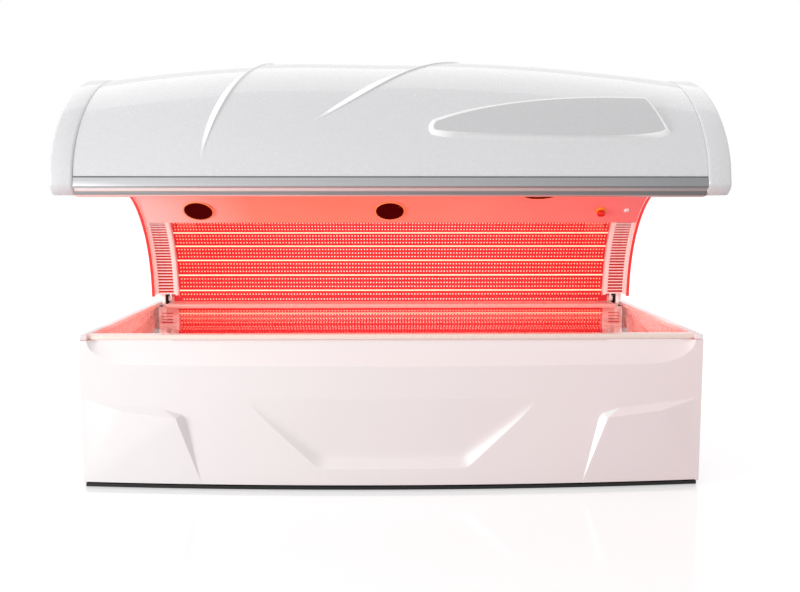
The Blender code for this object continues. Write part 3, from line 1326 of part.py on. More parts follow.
def cap_outline(inset):
    """Closed outline of an end cap, from its front lower edge over the top to its rear lower edge."""
    rise = hood_rise(half_canopy) + CAP_PROUD
    low = soffit_z - SHEET + inset
    points = [(trim_face + CAP_EDGE * 1.3 + inset, low), (trim_face - CAP_EDGE + inset, trim_nose)]
    for share in spread(0.0, 1.0, 20):
        y, z = hood_outline(rise, share, inset - CAP_PROUD * 0.6)
        points.append((y, z))
    rear = hood_y + HOOD_REAR_REACH + CAP_PROUD * 0.6 - inset
    points += [(rear, trim_nose), (rear - CAP_EDGE * 1.6, low)]
    return points


soffit_front = trim_face + TRIM_DEPTH + GAP
soffit_rear = hood_y + HOOD_REAR_REACH
soffit_low = soffit_z - SOFFIT_SHEET / 2
soffit_high = soffit_z + SOFFIT_SHEET / 2
soffit_section = [(soffit_front, soffit_low), (soffit_rear, soffit_low), (soffit_rear, hood_foot - GAP),
                  (soffit_rear - SHEET, hood_foot - GAP), (soffit_rear - SHEET, soffit_high),
                  (soffit_front, soffit_high)]
for side, word in ((-1, "left"), (1, "right")):
    cap = bmesh.new()
    loops = [(cap_outline(0.0), cap_joint), (cap_outline(0.0), half_canopy - CAP_EDGE),
             (cap_outline(CAP_EDGE * 0.35), half_canopy - CAP_EDGE * 0.25),
             (cap_outline(CAP_EDGE), half_canopy),
             (cap_outline(CAP_EDGE), half_canopy - HOOD_WALL),
             (cap_outline(HOOD_WALL), half_canopy - CAP_EDGE - HOOD_WALL * 0.4),
             (cap_outline(HOOD_WALL), cap_joint)]
    rings = [[cap.verts.new((side * x, y, z)) for y, z in outline] for outline, x in loops]
    count = len(rings[0])
    for first, second in zip(rings, rings[1:] + rings[:1]):
        if first is rings[3]:
            continue
        for index in range(count):
            after = (index + 1) % count
            cap.faces.new((first[index], first[after], second[after], second[index]))
    cap.faces.new(rings[3])
    cap.faces.new(list(reversed(rings[4])))
    cap_node = finish("canopy_end_cap_" + word, cap, SHELL_WHITE)
    soffit = bmesh.new()
    add_extrusion(soffit, soffit_section, side * (half_base + GAP), side * (cap_joint + HOOD_WALL), along_x)
    combine(cap_node, [finish("soffit", soffit, SHELL_WHITE)], "UNION")

trim = bmesh.new()
trim_top = hood_foot - GAP
add_extrusion(trim, [(trim_face + TRIM_DEPTH, trim_top), (trim_face - 0.002, trim_top),
                     (trim_face - 0.009, trim_nose), (trim_face - 0.0065, trim_nose - 0.005),
                     (trim_face + 0.0055, trim_nose - 0.011), (trim_face + 0.0075, trim_nose - 0.019),
                     (trim_face + 0.0115, trim_lip + 0.003), (trim_face + TRIM_LIP, trim_lip),
                     (trim_face + TRIM_LIP, trim_lip + 0.005), (trim_face + TRIM_DEPTH, soffit_low - 0.001)],
              -shell_half, shell_half, along_x)
finish("front_trim", trim, ALUMINIUM)

skirt = bmesh.new()
skirt_back = hood_y + HOOD_REAR_REACH
skirt_low = hinge_z + SKIRT_OVER_HINGE
skirt_middle = (skirt_low + hood_foot) / 2


def skirt_line(inset):
    """Section of the rear skirt from its top down to the lip that turns forwards."""
    return [(skirt_back - inset, hood_foot - GAP), (skirt_back - 0.004 - inset, skirt_middle),
            (skirt_back - 0.012 - inset, skirt_low + 0.040),
            (skirt_back - 0.026 - inset * 0.7, skirt_low + 0.010 + inset * 0.7),
            (skirt_back - SKIRT_BEND, skirt_low + inset),
            (skirt_back - SKIRT_BEND - SKIRT_LIP, skirt_low + inset)]


add_extrusion(skirt, skirt_line(0.0) + list(reversed(skirt_line(SHEET))), -half_base, half_base, along_x)
finish("canopy_rear_skirt", skirt, SHELL_WHITE)

for side, word in ((-1, "left"), (1, "right")):
    plate = bmesh.new()
    plate_end = COVE_END - SIDE_PLATE_SHORT
    inner_arc = [cove_point(COVE_RADIUS - SIDE_PLATE_PROUD, angle)
                 for angle in spread(COVE_START, plate_end, 24)]
    outer_arc = [cove_point(COVE_RADIUS + SIDE_PLATE_BAND, angle)
                 for angle in spread(plate_end - 1.0, 62.0, 8)]
    plate_back = skirt_back - 0.016 - SHEET - GAP
    plate_low = skirt_low + SHEET + GAP
    outline = inner_arc + outer_arc + [(plate_back, soffit_z), (plate_back, skirt_low + 0.060),
                                       (plate_back - 0.026, skirt_low + 0.024),
                                       (plate_back - 0.041, plate_low),
                                       (plate_back - 0.066, plate_low), (hinge_y + 0.010, hinge_z + 0.032)]
    add_extrusion(plate, outline, side * plate_inner, side * half_base, along_x)
    finish("trough_side_plate_" + word, plate, PANEL_PINK)

# Driver of the canopy lights, bolted on the rail above the cove
rail_tilt = RAIL_SIZE / 2 * math.cos(math.radians(RAIL_ANGLES[2]))
driver_seat = cove_point(rail_in + RAIL_SIZE, RAIL_ANGLES[2])[1] + rail_tilt + GAP
add_block("canopy_light_driver", DRIVER_SIZE, 0.0, cove_y, driver_seat, ALUMINIUM)
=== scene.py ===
# %% [markdown]
# # Dressing a red light therapy bed
# The bed is a low white base with a clear, lit bench, under a hinged canopy whose round inside is lit too.
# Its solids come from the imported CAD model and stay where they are. This lesson dresses them: finer skins
# where the solids are coarse, lamps, guards and screws grown with Geometry Nodes, and a procedural finish
# for every surface. It starts by loading the solids and keeping the box that they fill.

# %% Load the solids
import math

import bmesh
import bpy
import numpy as np
from mathutils import Matrix, Vector
from mathutils.geometry import delaunay_2d_cdt
from mathutils.kdtree import KDTree


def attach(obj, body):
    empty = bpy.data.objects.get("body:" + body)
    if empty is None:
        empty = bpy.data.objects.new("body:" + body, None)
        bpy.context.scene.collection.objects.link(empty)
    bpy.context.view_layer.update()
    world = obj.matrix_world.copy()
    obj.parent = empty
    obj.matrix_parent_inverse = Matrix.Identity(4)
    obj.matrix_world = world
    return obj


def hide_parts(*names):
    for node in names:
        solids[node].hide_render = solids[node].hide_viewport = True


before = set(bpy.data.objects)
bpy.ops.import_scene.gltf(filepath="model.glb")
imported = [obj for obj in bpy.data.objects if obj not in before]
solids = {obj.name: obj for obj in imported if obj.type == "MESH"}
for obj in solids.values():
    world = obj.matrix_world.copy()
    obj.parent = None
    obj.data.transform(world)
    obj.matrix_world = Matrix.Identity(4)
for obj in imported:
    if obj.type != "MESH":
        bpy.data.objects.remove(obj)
scene = bpy.context.scene
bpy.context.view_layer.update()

# %% [markdown]
# ## The camera
# The photo shows the bed from the front, from about the height of the open canopy's front edge, looking a
# little down. A lens can be guessed and moved by hand, but here it was fitted to the straight rims and the
# round inside of the canopy, so the camera is simply set: 893 pixels of focal length for a picture 800
# pixels wide.

# %% Camera
PICTURE_WIDTH = 800
FOCAL_PIXELS = 893
CAMERA_PLACE = (-0.0133, -3.3853, 0.9333)
LOOK_DOWN = 0.1069
LOOK_RIGHT = 0.0133
camera_data = bpy.data.cameras.new("front_camera")
camera_data.sensor_width = 36.0
camera_data.lens = FOCAL_PIXELS * camera_data.sensor_width / PICTURE_WIDTH
camera = bpy.data.objects.new("front_camera", camera_data)
camera.location = CAMERA_PLACE
camera.rotation_euler = (math.pi / 2 - LOOK_DOWN, 0.0, -LOOK_RIGHT)
scene.collection.objects.link(camera)
scene.camera = camera
print("lens:", round(camera_data.lens, 2), "mm")

# %% [markdown]
# ## Writing nodes as Python
# Shader and geometry trees soon hold dozens of nodes. Wiring each by hand hides the idea, so two small
# classes do it. A Value wraps one socket, and sums on Values add Math nodes. Nodes.add makes any other
# node: its type first, then its settings, then what its sockets get.

# %% Value and Nodes
class Value:
    """One output socket that can stand in a sum."""

    def __init__(self, nodes, socket):
        self.nodes = nodes
        self.socket = socket

    def __add__(self, other):
        return self.nodes.maths("ADD", self, other)

    def __radd__(self, other):
        return self.nodes.maths("ADD", other, self)

    def __sub__(self, other):
        return self.nodes.maths("SUBTRACT", self, other)

    def __rsub__(self, other):
        return self.nodes.maths("SUBTRACT", other, self)

    def __mul__(self, other):
        return self.nodes.maths("MULTIPLY", self, other)

    def __rmul__(self, other):
        return self.nodes.maths("MULTIPLY", other, self)

    def __truediv__(self, other):
        return self.nodes.maths("DIVIDE", self, other)


class Nodes:
    """A node tree that is filled by calls."""

    def __init__(self, tree):
        self.tree = tree

    def feed(self, socket, value):
        if isinstance(value, Value):
            self.tree.links.new(value.socket, socket)
        else:
            socket.default_value = value

    def add(self, kind, settings=None, sockets=None, out=0):
        node = self.tree.nodes.new(kind)
        for label, setting in (settings or {}).items():
            if label == "stops":
                self.set_stops(node.color_ramp, setting)
            else:
                setattr(node, label, setting)
        for label, value in (sockets or {}).items():
            self.feed(node.inputs[label], value)
        return Value(self, node.outputs[out])

    def set_stops(self, ramp, stops):
        while len(ramp.elements) < len(stops):
            ramp.elements.new(0.5)
        for element, (position, colour) in zip(ramp.elements, stops):
            element.position = position
            element.color = colour

    def maths(self, operation, *values):
        return self.add("ShaderNodeMath", {"operation": operation}, dict(enumerate(values)))

    def part(self, vector, letter):
        return self.add("ShaderNodeSeparateXYZ", None, {0: vector}, letter)

    def vector(self, *parts):
        return self.add("ShaderNodeCombineXYZ", None, dict(enumerate(parts)))


print("node writers ready")

# %% [markdown]
# ## Finishes
# A finish is a Principled material read in Object coordinates, which are metres here, so a grain of 1 mm is
# written as 1 mm. Colours are written as the eye meets them on a screen, 0 to 255, and turned into the
# linear numbers that a shader needs. Most finishes vary a little in colour and roughness, with a fine bump.

# %% The Finish class
def ink(red, green, blue):
    """A screen colour as the linear colour that a shader needs."""
    parts = [channel / 255 for channel in (red, green, blue)]
    return (*[part / 12.92 if part < 0.04 else ((part + 0.055) / 1.055) ** 2.4 for part in parts], 1.0)


class Finish(Nodes):
    """A material that is painted by calls."""

    def __init__(self, name, **constants):
        self.material = bpy.data.materials.new(name)
        self.material.use_nodes = True
        super().__init__(self.material.node_tree)
        self.shader = self.tree.nodes["Principled BSDF"]
        for label, constant in constants.items():
            self.shader.inputs[label.replace("_", " ")].default_value = constant
        self.place = self.add("ShaderNodeTexCoord", out="Object")

    def noise(self, scale, detail=2.0, stretch=(1.0, 1.0, 1.0)):
        spot = self.add("ShaderNodeMapping", None, {"Vector": self.place, "Scale": stretch}, "Vector")
        return self.add("ShaderNodeTexNoise", None, {"Vector": spot, "Scale": scale, "Detail": detail}, "Fac")

    def axis(self, letter):
        return self.part(self.place, letter)

    def ramp(self, mask, *stops):
        return self.add("ShaderNodeValToRGB", {"stops": stops}, {"Fac": mask}, "Color")

    def step(self, value, low, high, first=0.0, last=1.0):
        """Goes evenly from first to last while the value goes from low to high."""
        return self.add("ShaderNodeMapRange", None,
                        {"Value": value, 1: low, 2: high, 3: first, 4: last}, "Result")

    def between(self, mask, first, second):
        return self.add("ShaderNodeMix", {"data_type": "RGBA"}, {0: mask, 6: first, 7: second}, 2)

    def bump(self, height, distance):
        normal = self.add("ShaderNodeBump", None, {"Height": height, "Distance": distance}, "Normal")
        self.paint("Normal", normal)

    def paint(self, label, value):
        self.feed(self.shader.inputs[label], value)


print("one sheet of white is", [round(c, 3) for c in ink(238, 238, 240)[:3]])

# %% [markdown]
# ### White mouldings
# The hood, its end caps and the base front are vacuum-formed plastic: glossy, very smooth, with the faint
# ripple that such sheets have, called orange peel. A clear coat over a slightly duller white gives the
# soft highlight with a sharper one inside it. Flat white would look like paper. Numbers stored on a piece,
# such as where its steep walls are, choose another shade there, which is painted light and shade: painted
# highlights on steep walls, painted shade inside the teardrop and painted lamp light on the base front's
# band. The hood's white is greyer than the front's as painted shade, and the pinks of the front and the
# rims are painted lamp light.

# %% Hood white and casing white
def moulded(name, first, second, rough, **masks):
    """A white moulding, with painted light and shade where the piece has named masks."""
    made = Finish(name, Coat_Weight=0.80, Coat_Roughness=0.05)
    shade = made.between(made.noise(2.3, 3.0), first, second)
    for label, masked in masks.items():
        where = made.add("ShaderNodeAttribute", {"attribute_name": label}, None, "Fac")
        shade = made.between(where, shade, masked)
    made.paint("Base Color", shade)
    made.paint("Roughness", made.step(made.noise(38.0, 2.0), 0.3, 0.7, rough - 0.03, rough + 0.05))
    made.bump(made.noise(48.0, 1.0), 0.00003)
    return made


# Painted shade: the hood's white is greyer than the front's. drop paints shade inside the teardrop, and edge
# paints a highlight on the swoops' walls and the drop's lip.
hood_white = moulded("hood_white", ink(220, 220, 222), ink(224, 224, 226), 0.26,
                     drop=ink(206, 205, 207), edge=ink(253, 253, 253))
casing_white = moulded("casing_white", ink(245, 235, 235), ink(248, 239, 239), 0.34)
# The front's slight pink is painted lamp light. band paints lamp light on the sloped band, right paints more
# pink lamp light towards the right end, and edge paints a highlight on walls that face the left lamp.
front_white = moulded("front_white", ink(243, 239, 239), ink(246, 242, 242), 0.34,
                      band=ink(255, 247, 247), right=ink(253, 233, 234), edge=ink(255, 254, 254))
# The rims are white plastic; their pinks are painted lamp light, deeper on the rear rim under the canopy.
rim_white = moulded("rim_white", ink(255, 226, 214), ink(255, 232, 222), 0.28)
rim_rose = moulded("rim_rose", ink(252, 176, 166), ink(253, 186, 176), 0.28)
print("white mouldings:", hood_white.material.name, casing_white.material.name, rim_white.material.name)

# %% [markdown]
# ### The pink inside
# The control strip, the end plates and the vent plates are pale plastic that the lamps light from all
# sides. Their pinks are painted lamp light, and the strip is paler towards its left end, painted white
# light from the left; all have a fine satin grain. The plates glow faintly as well, a painted glow, since
# lamps that are so small in the picture would leave them dull.

# %% Strip, plate and vent finishes
def grained(name, rough, **constants):
    """A pale plastic with a satin grain, still without its colour."""
    made = Finish(name, **constants)
    made.paint("Roughness", made.step(made.noise(90.0, 2.0), 0.3, 0.7, rough - 0.06, rough + 0.06))
    made.bump(made.noise(900.0, 2.0), 0.00008)
    return made


def satin(name, first, second, rough, **constants):
    made = grained(name, rough, **constants)
    made.paint("Base Color", made.between(made.noise(3.1, 3.0), first, second))
    return made


# Painted light: the strip is pale plastic, and its pinks, paler towards the left end, stand for the lamps'
# light and the white light from the left.
strip_pink = grained("strip_pink", 0.40)
strip_run = strip_pink.step(strip_pink.axis("X"), -1.0, 1.0)
strip_painted_light_ramp = strip_pink.ramp(
    strip_run, (0.00, ink(251, 204, 199)), (0.10, ink(250, 182, 174)), (0.22, ink(246, 146, 126)),
    (0.40, ink(244, 139, 116)), (0.65, ink(246, 144, 130)), (0.88, ink(243, 132, 128)),
    (1.00, ink(238, 116, 118)))
strip_cloud = strip_pink.step(strip_pink.noise(3.1, 3.0), 0.3, 0.7, 0.0, 0.2)
strip_pink.paint("Base Color", strip_pink.between(strip_cloud, strip_painted_light_ramp, ink(250, 160, 144)))
# The plates, their edges and the vent plates glow though they are no lamps: a painted glow. The plates' pink
# and the edges' red are painted lamp light.
plate_pink = satin("plate_pink", ink(250, 222, 217), ink(252, 230, 226), 0.28, Emission_Strength=0.10,
                   Emission_Color=ink(255, 176, 168))
plate_edge = satin("plate_edge", ink(206, 36, 36), ink(220, 50, 46), 0.34, Emission_Strength=0.30,
                   Emission_Color=ink(216, 40, 40))
vent_white = satin("vent_white", ink(250, 240, 238), ink(252, 244, 242), 0.36, Emission_Strength=0.12,
                   Emission_Color=ink(255, 246, 244))
tray_white = satin("tray_white", ink(248, 236, 232), ink(251, 241, 238), 0.40)
# The lining's red and its glow are painted light of the red-lit space behind the vents.
lining_red = satin("lining_red", ink(140, 5, 8), ink(154, 7, 10), 0.70, Emission_Strength=0.50,
                   Emission_Color=ink(206, 8, 14))
print("lit plastics:", strip_pink.material.name, plate_pink.material.name, vent_white.material.name)

# %% [markdown]
# ### Metals, rubber and black plastic
# Brushed metal has fine scratches that all run one way, so its noise is stretched fifty times or more along
# it. Powder coat is a coarse pebble bump. Chrome is nearly a mirror with faint smears.

# %% Metal finishes
def brushed(name, first, second, rough, stretch):
    made = Finish(name, Metallic=1.0)
    scratch = made.noise(900.0, 3.0, stretch)
    made.paint("Base Color", made.between(scratch, first, second))
    made.paint("Roughness", made.step(scratch, 0.3, 0.7, rough - 0.07, rough + 0.09))
    made.bump(scratch, 0.00004)
    return made


def coated(name, first, second, rough, grain, depth, metallic=0.0, shine=0.5):
    made = Finish(name, Metallic=metallic, Specular_IOR_Level=shine)
    made.paint("Base Color", made.between(made.noise(7.0, 4.0), first, second))
    pebble = made.noise(grain, 3.0)
    made.paint("Roughness", made.step(pebble, 0.3, 0.7, rough - 0.08, rough + 0.08))
    made.bump(pebble, depth)
    return made


bezel_metal = brushed("bezel_metal", ink(222, 222, 224), ink(236, 236, 238), 0.22, (1.0, 1.0, 0.02))
chrome = coated("chromed_rod", ink(226, 227, 229), ink(236, 236, 238), 0.12, 160.0, 0.00001, 1.0)
steel_coat = coated("steel_coat", ink(132, 135, 140), ink(142, 145, 149), 0.46, 700.0, 0.00012)
frame_coat = coated("frame_coat", ink(92, 94, 98), ink(104, 106, 110), 0.52, 620.0, 0.00015)
supply_coat = coated("supply_coat", ink(176, 178, 181), ink(188, 190, 192), 0.40, 800.0, 0.00006, 0.6)
black_grain = coated("black_grain", ink(20, 20, 21), ink(32, 31, 32), 0.50, 1100.0, 0.00010)
tube_black = coated("tube_black", ink(16, 16, 17), ink(24, 24, 26), 0.26, 300.0, 0.00002)
foot_rubber = coated("foot_rubber", ink(26, 26, 26), ink(38, 37, 36), 0.78, 520.0, 0.00020)
# The guard mesh and the dark parts are near-black; their red tint is painted lamp light.
guard_metal = coated("guard_metal", ink(96, 1, 3), ink(108, 3, 5), 0.70, 900.0, 0.00004, shine=0.05)
duct_dark = coated("duct_dark", ink(44, 3, 4), ink(52, 5, 6), 0.70, 1100.0, 0.00010, shine=0.05)
guard_rim = coated("guard_rim", ink(250, 150, 84), ink(253, 168, 100), 0.36, 500.0, 0.00003)
bezel_pale = coated("bezel_pale", ink(248, 244, 243), ink(251, 248, 247), 0.30, 600.0, 0.00002)
stop_yellow = coated("stop_yellow", ink(244, 138, 40), ink(249, 152, 52), 0.34, 800.0, 0.00005)
stop_red = coated("stop_red", ink(200, 22, 18), ink(214, 30, 24), 0.28, 700.0, 0.00004)
button_grey = coated("button_grey", ink(104, 92, 92), ink(120, 108, 107), 0.38, 900.0, 0.00004)
print("finishes so far:", len(bpy.data.materials))

# %% [markdown]
# ### The front trim
# The trim is one aluminium profile, folded: a bright face, a white ledge, a grey groove and a lower lip.
# Its bands are painted light and shade: a painted highlight on the white ledge, painted shade in the grey
# groove, painted pink lamp light on the lip and above the groove, and a painted shadow in the dark line
# under the hood. The trim also darkens towards the right end, a painted shade. One way is to cut it into
# pieces. Here the finish reads the height above the floor instead, because the profile is the same all
# along its length.

# %% Trim finish
TRIM_LOW = 0.940
TRIM_HIGH = 1.016
trim_metal = Finish("trim_metal")
trim_height = trim_metal.step(trim_metal.axis("Z"), TRIM_LOW, TRIM_HIGH)
trim_scratch = trim_metal.noise(900.0, 3.0, (0.004, 1.0, 1.0))
# Painted light and shade by height: pink lamp light on the lip, shade in the groove, a highlight on the ledge
# and a shadow under the hood.
trim_painted_light_bands = trim_metal.ramp(
    trim_height,
    (0.00, ink(250, 188, 180)), (0.13, ink(250, 188, 180)), (0.16, ink(132, 132, 134)),
    (0.30, ink(138, 138, 140)), (0.32, ink(246, 200, 192)), (0.36, ink(250, 232, 228)),
    (0.44, ink(250, 250, 250)), (0.47, ink(206, 207, 209)), (0.90, ink(198, 199, 201)),
    (0.92, ink(84, 86, 89)))
trim_streaks = trim_metal.step(trim_scratch, 0.3, 0.7, 0.0, 0.2)
trim_light = trim_metal.between(trim_streaks, trim_painted_light_bands, ink(222, 221, 223))
# Painted shade: the trim darkens towards the right end.
trim_painted_shade = trim_metal.step(trim_metal.axis("X"), -1.0, 1.0, 0.0, 0.64)
trim_metal.paint("Base Color", trim_metal.between(trim_painted_shade, trim_light, ink(96, 97, 100)))
trim_metal.paint("Metallic", trim_metal.step(trim_height, 0.44, 0.48, 0.0, 1.0))
trim_metal.paint("Roughness", trim_metal.step(trim_scratch, 0.3, 0.7, 0.24, 0.40))
trim_metal.bump(trim_scratch, 0.00003)
print("trim bands run from", TRIM_LOW, "to", TRIM_HIGH, "m above the floor")

# %% [markdown]
# ### Clear acrylic
# The bench and the canopy covers are clear sheets that bend light very little, as they are thin. Glass
# shaders slow a render and darken what is behind, so a transparent and a glossy shader are mixed by
# Fresnel: clear when looked at squarely, mirror-like at a glancing angle.

# %% Acrylic finish
clear_acrylic = Finish("clear_acrylic")
smear = clear_acrylic.noise(4.0, 3.0)
edge_gloss = clear_acrylic.add("ShaderNodeFresnel", None, {"IOR": 1.45}, "Fac")
see_through = clear_acrylic.add("ShaderNodeBsdfTransparent", None, {"Color": ink(255, 250, 249)}, "BSDF")
clear_acrylic.paint("Base Color", ink(255, 252, 250))
clear_acrylic.paint("Metallic", 1.0)
clear_acrylic.paint("Roughness", clear_acrylic.step(smear, 0.3, 0.8, 0.0, 0.012))
gloss = Value(clear_acrylic, clear_acrylic.shader.outputs[0])
clear_mix = clear_acrylic.add("ShaderNodeMixShader", None,
                              {0: edge_gloss * 0.3, 1: see_through, 2: gloss}, "Shader")
clear_acrylic.feed(clear_acrylic.tree.nodes["Material Output"].inputs["Surface"], clear_mix)
print("acrylic mixes", clear_mix.socket.node.name)

# %% [markdown]
# ### Lamp boards, lamps and joint strips
# The boards are red circuit boards that glow as a whole, since thousands of small lamps sit on them. The
# glow deepens towards the ends of the bed, with a faint seam where two boards meet. Fine traces vary the
# board's own colour, and each lamp is a real small form with a hotter glow.

# %% Glowing finishes
BOARD_TILE = 0.30
light_board = Finish("light_board", Emission_Strength=1.0, Roughness=0.42)
trace = light_board.noise(26.0, 2.0, (0.08, 1.0, 1.0))
from_middle = light_board.maths("ABSOLUTE", light_board.axis("X"))
light_board.paint("Base Color", light_board.between(trace, ink(150, 16, 20), ink(176, 26, 26)))
near_ends = light_board.step(from_middle, 0.35, 0.90)
board_glow = light_board.between(near_ends, ink(190, 40, 46), ink(176, 18, 32))
tile = light_board.maths("FRACT", light_board.axis("X") / BOARD_TILE + 0.5)
off_seam = light_board.maths("ABSOLUTE", tile - 0.5)
seam = light_board.step(off_seam, 0.004, 0.010, 0.16, 0.0)
light_board.paint("Emission Color", light_board.between(seam, board_glow, ink(120, 4, 8)))
light_board.bump(trace, 0.0001)
lamp_glow = Finish("lamp_glow", Emission_Strength=2.0, Roughness=0.25)
lamp_far = lamp_glow.step(lamp_glow.maths("ABSOLUTE", lamp_glow.axis("X")), 0.20, 0.90)
lamp_glow.paint("Base Color", ink(250, 190, 180))
lamp_glow.paint("Emission Color", lamp_glow.between(lamp_far, ink(255, 178, 170), ink(255, 136, 96)))
# The joint strips are no lamps: their glow is painted light of the lamps beside them.
joint_glow = Finish("joint_glow", Emission_Strength=0.95, Roughness=0.30)
joint_dots = joint_glow.noise(120.0, 1.0, (1.0, 0.1, 0.1))
joint_glow.paint("Base Color", ink(255, 226, 200))
joint_glow.paint("Emission Color", joint_glow.between(joint_dots, ink(255, 190, 150), ink(255, 224, 196)))
print("glowing finishes:", light_board.material.name, lamp_glow.material.name, joint_glow.material.name)

# %% [markdown]
# ## Making pieces
# A piece is made at its own place in the shared frame, with its object left at the origin. Five helpers do
# the same work each time: solid makes a closed mesh from points and faces, take turns it into an object
# with a finish, store keeps numbers on its points, settle ties it to a body of the model and to the solid
# it stands for, and softened copies a solid and rounds its sharp edges.

# %% Piece helpers
SHARP_ANGLE = math.radians(30.0)
SOFT_CREASE = 28.0


def solid(name, points, faces, finish, crease=35.0):
    form = bmesh.new()
    spots = [form.verts.new(point) for point in points]
    for corners in faces:
        form.faces.new([spots[corner] for corner in corners])
    bmesh.ops.recalc_face_normals(form, faces=form.faces)
    return take(name, form, finish, crease)


def take(name, form, finish, crease):
    mesh = bpy.data.meshes.new(name)
    form.to_mesh(mesh)
    form.free()
    mesh.shade_smooth()
    mesh.set_sharp_from_angle(angle=math.radians(crease))
    mesh.materials.append(finish.material)
    piece = bpy.data.objects.new(name, mesh)
    scene.collection.objects.link(piece)
    return piece


def store(piece, label, numbers):
    """Keeps one number per point, which a finish can read."""
    piece.data.attributes.new(label, "FLOAT", "POINT").data.foreach_set("value", numbers)


def settle(piece, body, slot, *stands_for):
    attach(piece, body)
    if stands_for:
        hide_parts(*stands_for)
    count = sum(len(polygon.vertices) - 2 for polygon in piece.data.polygons)
    print("piece", piece.name, "on", body, "with", count, "triangles")
    return piece


def softened(node, width, finish, body, slot, steps=2):
    form = bmesh.new()
    form.from_mesh(solids[node].data)
    bmesh.ops.remove_doubles(form, verts=form.verts, dist=0.00001)
    bmesh.ops.dissolve_limit(form, angle_limit=math.radians(1.0), verts=form.verts, edges=form.edges)
    sharp = [edge for edge in form.edges if edge.is_manifold and edge.calc_face_angle() > SHARP_ANGLE]
    bmesh.ops.bevel(form, geom=sharp, offset=width, offset_type="OFFSET", segments=steps,
                    profile=0.5, affect="EDGES", clamp_overlap=True)
    piece = take(node + "_dressed", form, finish, SOFT_CREASE)
    return settle(piece, body, slot, node)


print("helpers ready")

# %% [markdown]
# ## Skins with creases
# The hood and the base front are large smooth sheets with a few crisp creases. On a plain grid a slanting
# crease turns into stairs. A Delaunay triangulation lays its triangles along given lines instead, so each
# crease is a line with close twins on both sides, which carry its small rounding, and a coarse grid fills
# the rest.

# %% Creased sheets
CREASE_ROUND = 0.0012
CREASE_STEP = 0.010
SKIN_CLEAR = 0.006


def evenly(line, step):
    """The line with points about one step apart, its corners kept."""
    line = np.array(line, float)
    spots = [line[:1]]
    for first, second in zip(line, line[1:]):
        count = max(1, round(np.linalg.norm(second - first) / step))
        spots.append(first + np.arange(1, count + 1)[:, None] / count * (second - first))
    return np.vstack(spots)


def beside(line, distance):
    """The line moved sideways by the distance."""
    run = np.gradient(line, axis=0)
    run /= np.maximum(np.linalg.norm(run, axis=1, keepdims=True), 1e-9)
    return line + distance * np.stack([-run[:, 1], run[:, 0]], -1)


def triangulated(lines, us, vs):
    """Spots and triangles of a rectangle, laid along the lines and their twins."""
    spots, edges = [], []
    for line in lines:
        for twin in (-2, -1, 0, 1, 2):
            moved = beside(evenly(line, CREASE_STEP), twin * CREASE_ROUND)
            moved = np.clip(moved, (us[0], vs[0]), (us[-1], vs[-1]))
            edges += [(len(spots) + step, len(spots) + step + 1) for step in range(len(moved) - 1)]
            spots += moved.tolist()
    taken = KDTree(len(spots))
    for index, spot in enumerate(spots):
        taken.insert((*spot, 0.0), index)
    taken.balance()
    for u in us:
        for v in vs:
            at_edge = u in (us[0], us[-1]) or v in (vs[0], vs[-1])
            if taken.find((u, v, 0.0))[2] > (SKIN_CLEAR * 0.2 if at_edge else SKIN_CLEAR):
                spots.append((u, v))
    corners, _, faces, *_ = delaunay_2d_cdt([Vector(spot) for spot in spots], edges, [], 0, 1e-5)
    return np.array([tuple(corner) for corner in corners]), [list(face) for face in faces]


def two_sided(outer, inner, faces):
    """Points and faces of a closed sheet from the places of its two sides."""
    count = len(outer)
    sides = faces + [[count + corner for corner in reversed(face)] for face in faces]
    ways = {(first, second) for face in faces for first, second in zip(face, face[1:] + face[:1])}
    sides += [(second, first, count + first, count + second)
              for first, second in sorted(ways) if (second, first) not in ways]
    return np.vstack([outer, inner]).tolist(), sides


def rounded(height):
    """The height averaged over a small disc, which rounds every crease."""
    turns = [math.pi / 3 * turn for turn in range(6)]
    steps = [(0.0, 0.0)] + [(CREASE_ROUND * math.cos(turn), CREASE_ROUND * math.sin(turn)) for turn in turns]
    return lambda u, v: sum(height(u + along, v + up) for along, up in steps) / len(steps)


print("creases are rounded over", CREASE_ROUND * 2000, "mm")

# %% [markdown]
# ## The hood
# The hood is one formed sheet: a long arch, higher in the middle, with two swooping ridges on the left and a
# raised teardrop on the right. It could be sculpted, but its shape follows rules, so it is worked out over
# two measures: how far along the bed, and how far over the arch. The ridges and the drop are heights over
# the arch. GAP is the hair's breadth that is left between neighbours, or by which a lamp is sunk.

# %% Sizes of the canopy
SIDES = ((-1, "left"), (1, "right"))
GAP = 0.0003
SHEET = 0.005
HALF_BASE = 1.010
HALF_CANOPY = 1.155
CAP_JOINT = 1.072
SHELL_HALF = 1.0717
HOOD_FOOT = 1.0135
HOOD_Y = 0.1925
HOOD_RISE = 0.443
END_DROP = 0.075
END_POWER = 2.6
FRONT_POWER = 2 / 1.72
FRONT_REACH = 0.538
REAR_REACH = 0.350
TRIM_FACE = -0.3455
TRIM_NOSE = 0.981
SOFFIT_Z = 0.955
ARCH_LENGTH = 1.35
SHARE_STEP = 0.01


def hood_rise(x):
    return HOOD_RISE - END_DROP * (np.abs(x) / HALF_CANOPY) ** END_POWER


def hood_section(rise, share, inset=0.0):
    """Y and Z of the arch at a share of the way from its front foot to its rear foot."""
    cosine = np.cos(math.pi * share)
    sine = np.maximum(np.sin(math.pi * share), 0.0)
    power = np.where(cosine > 0, FRONT_POWER, 1.0)
    reach = np.where(cosine > 0, FRONT_REACH, REAR_REACH) - inset
    y = HOOD_Y - np.copysign(reach * np.abs(cosine) ** power, cosine)
    return y, HOOD_FOOT + (rise - inset) * sine ** power


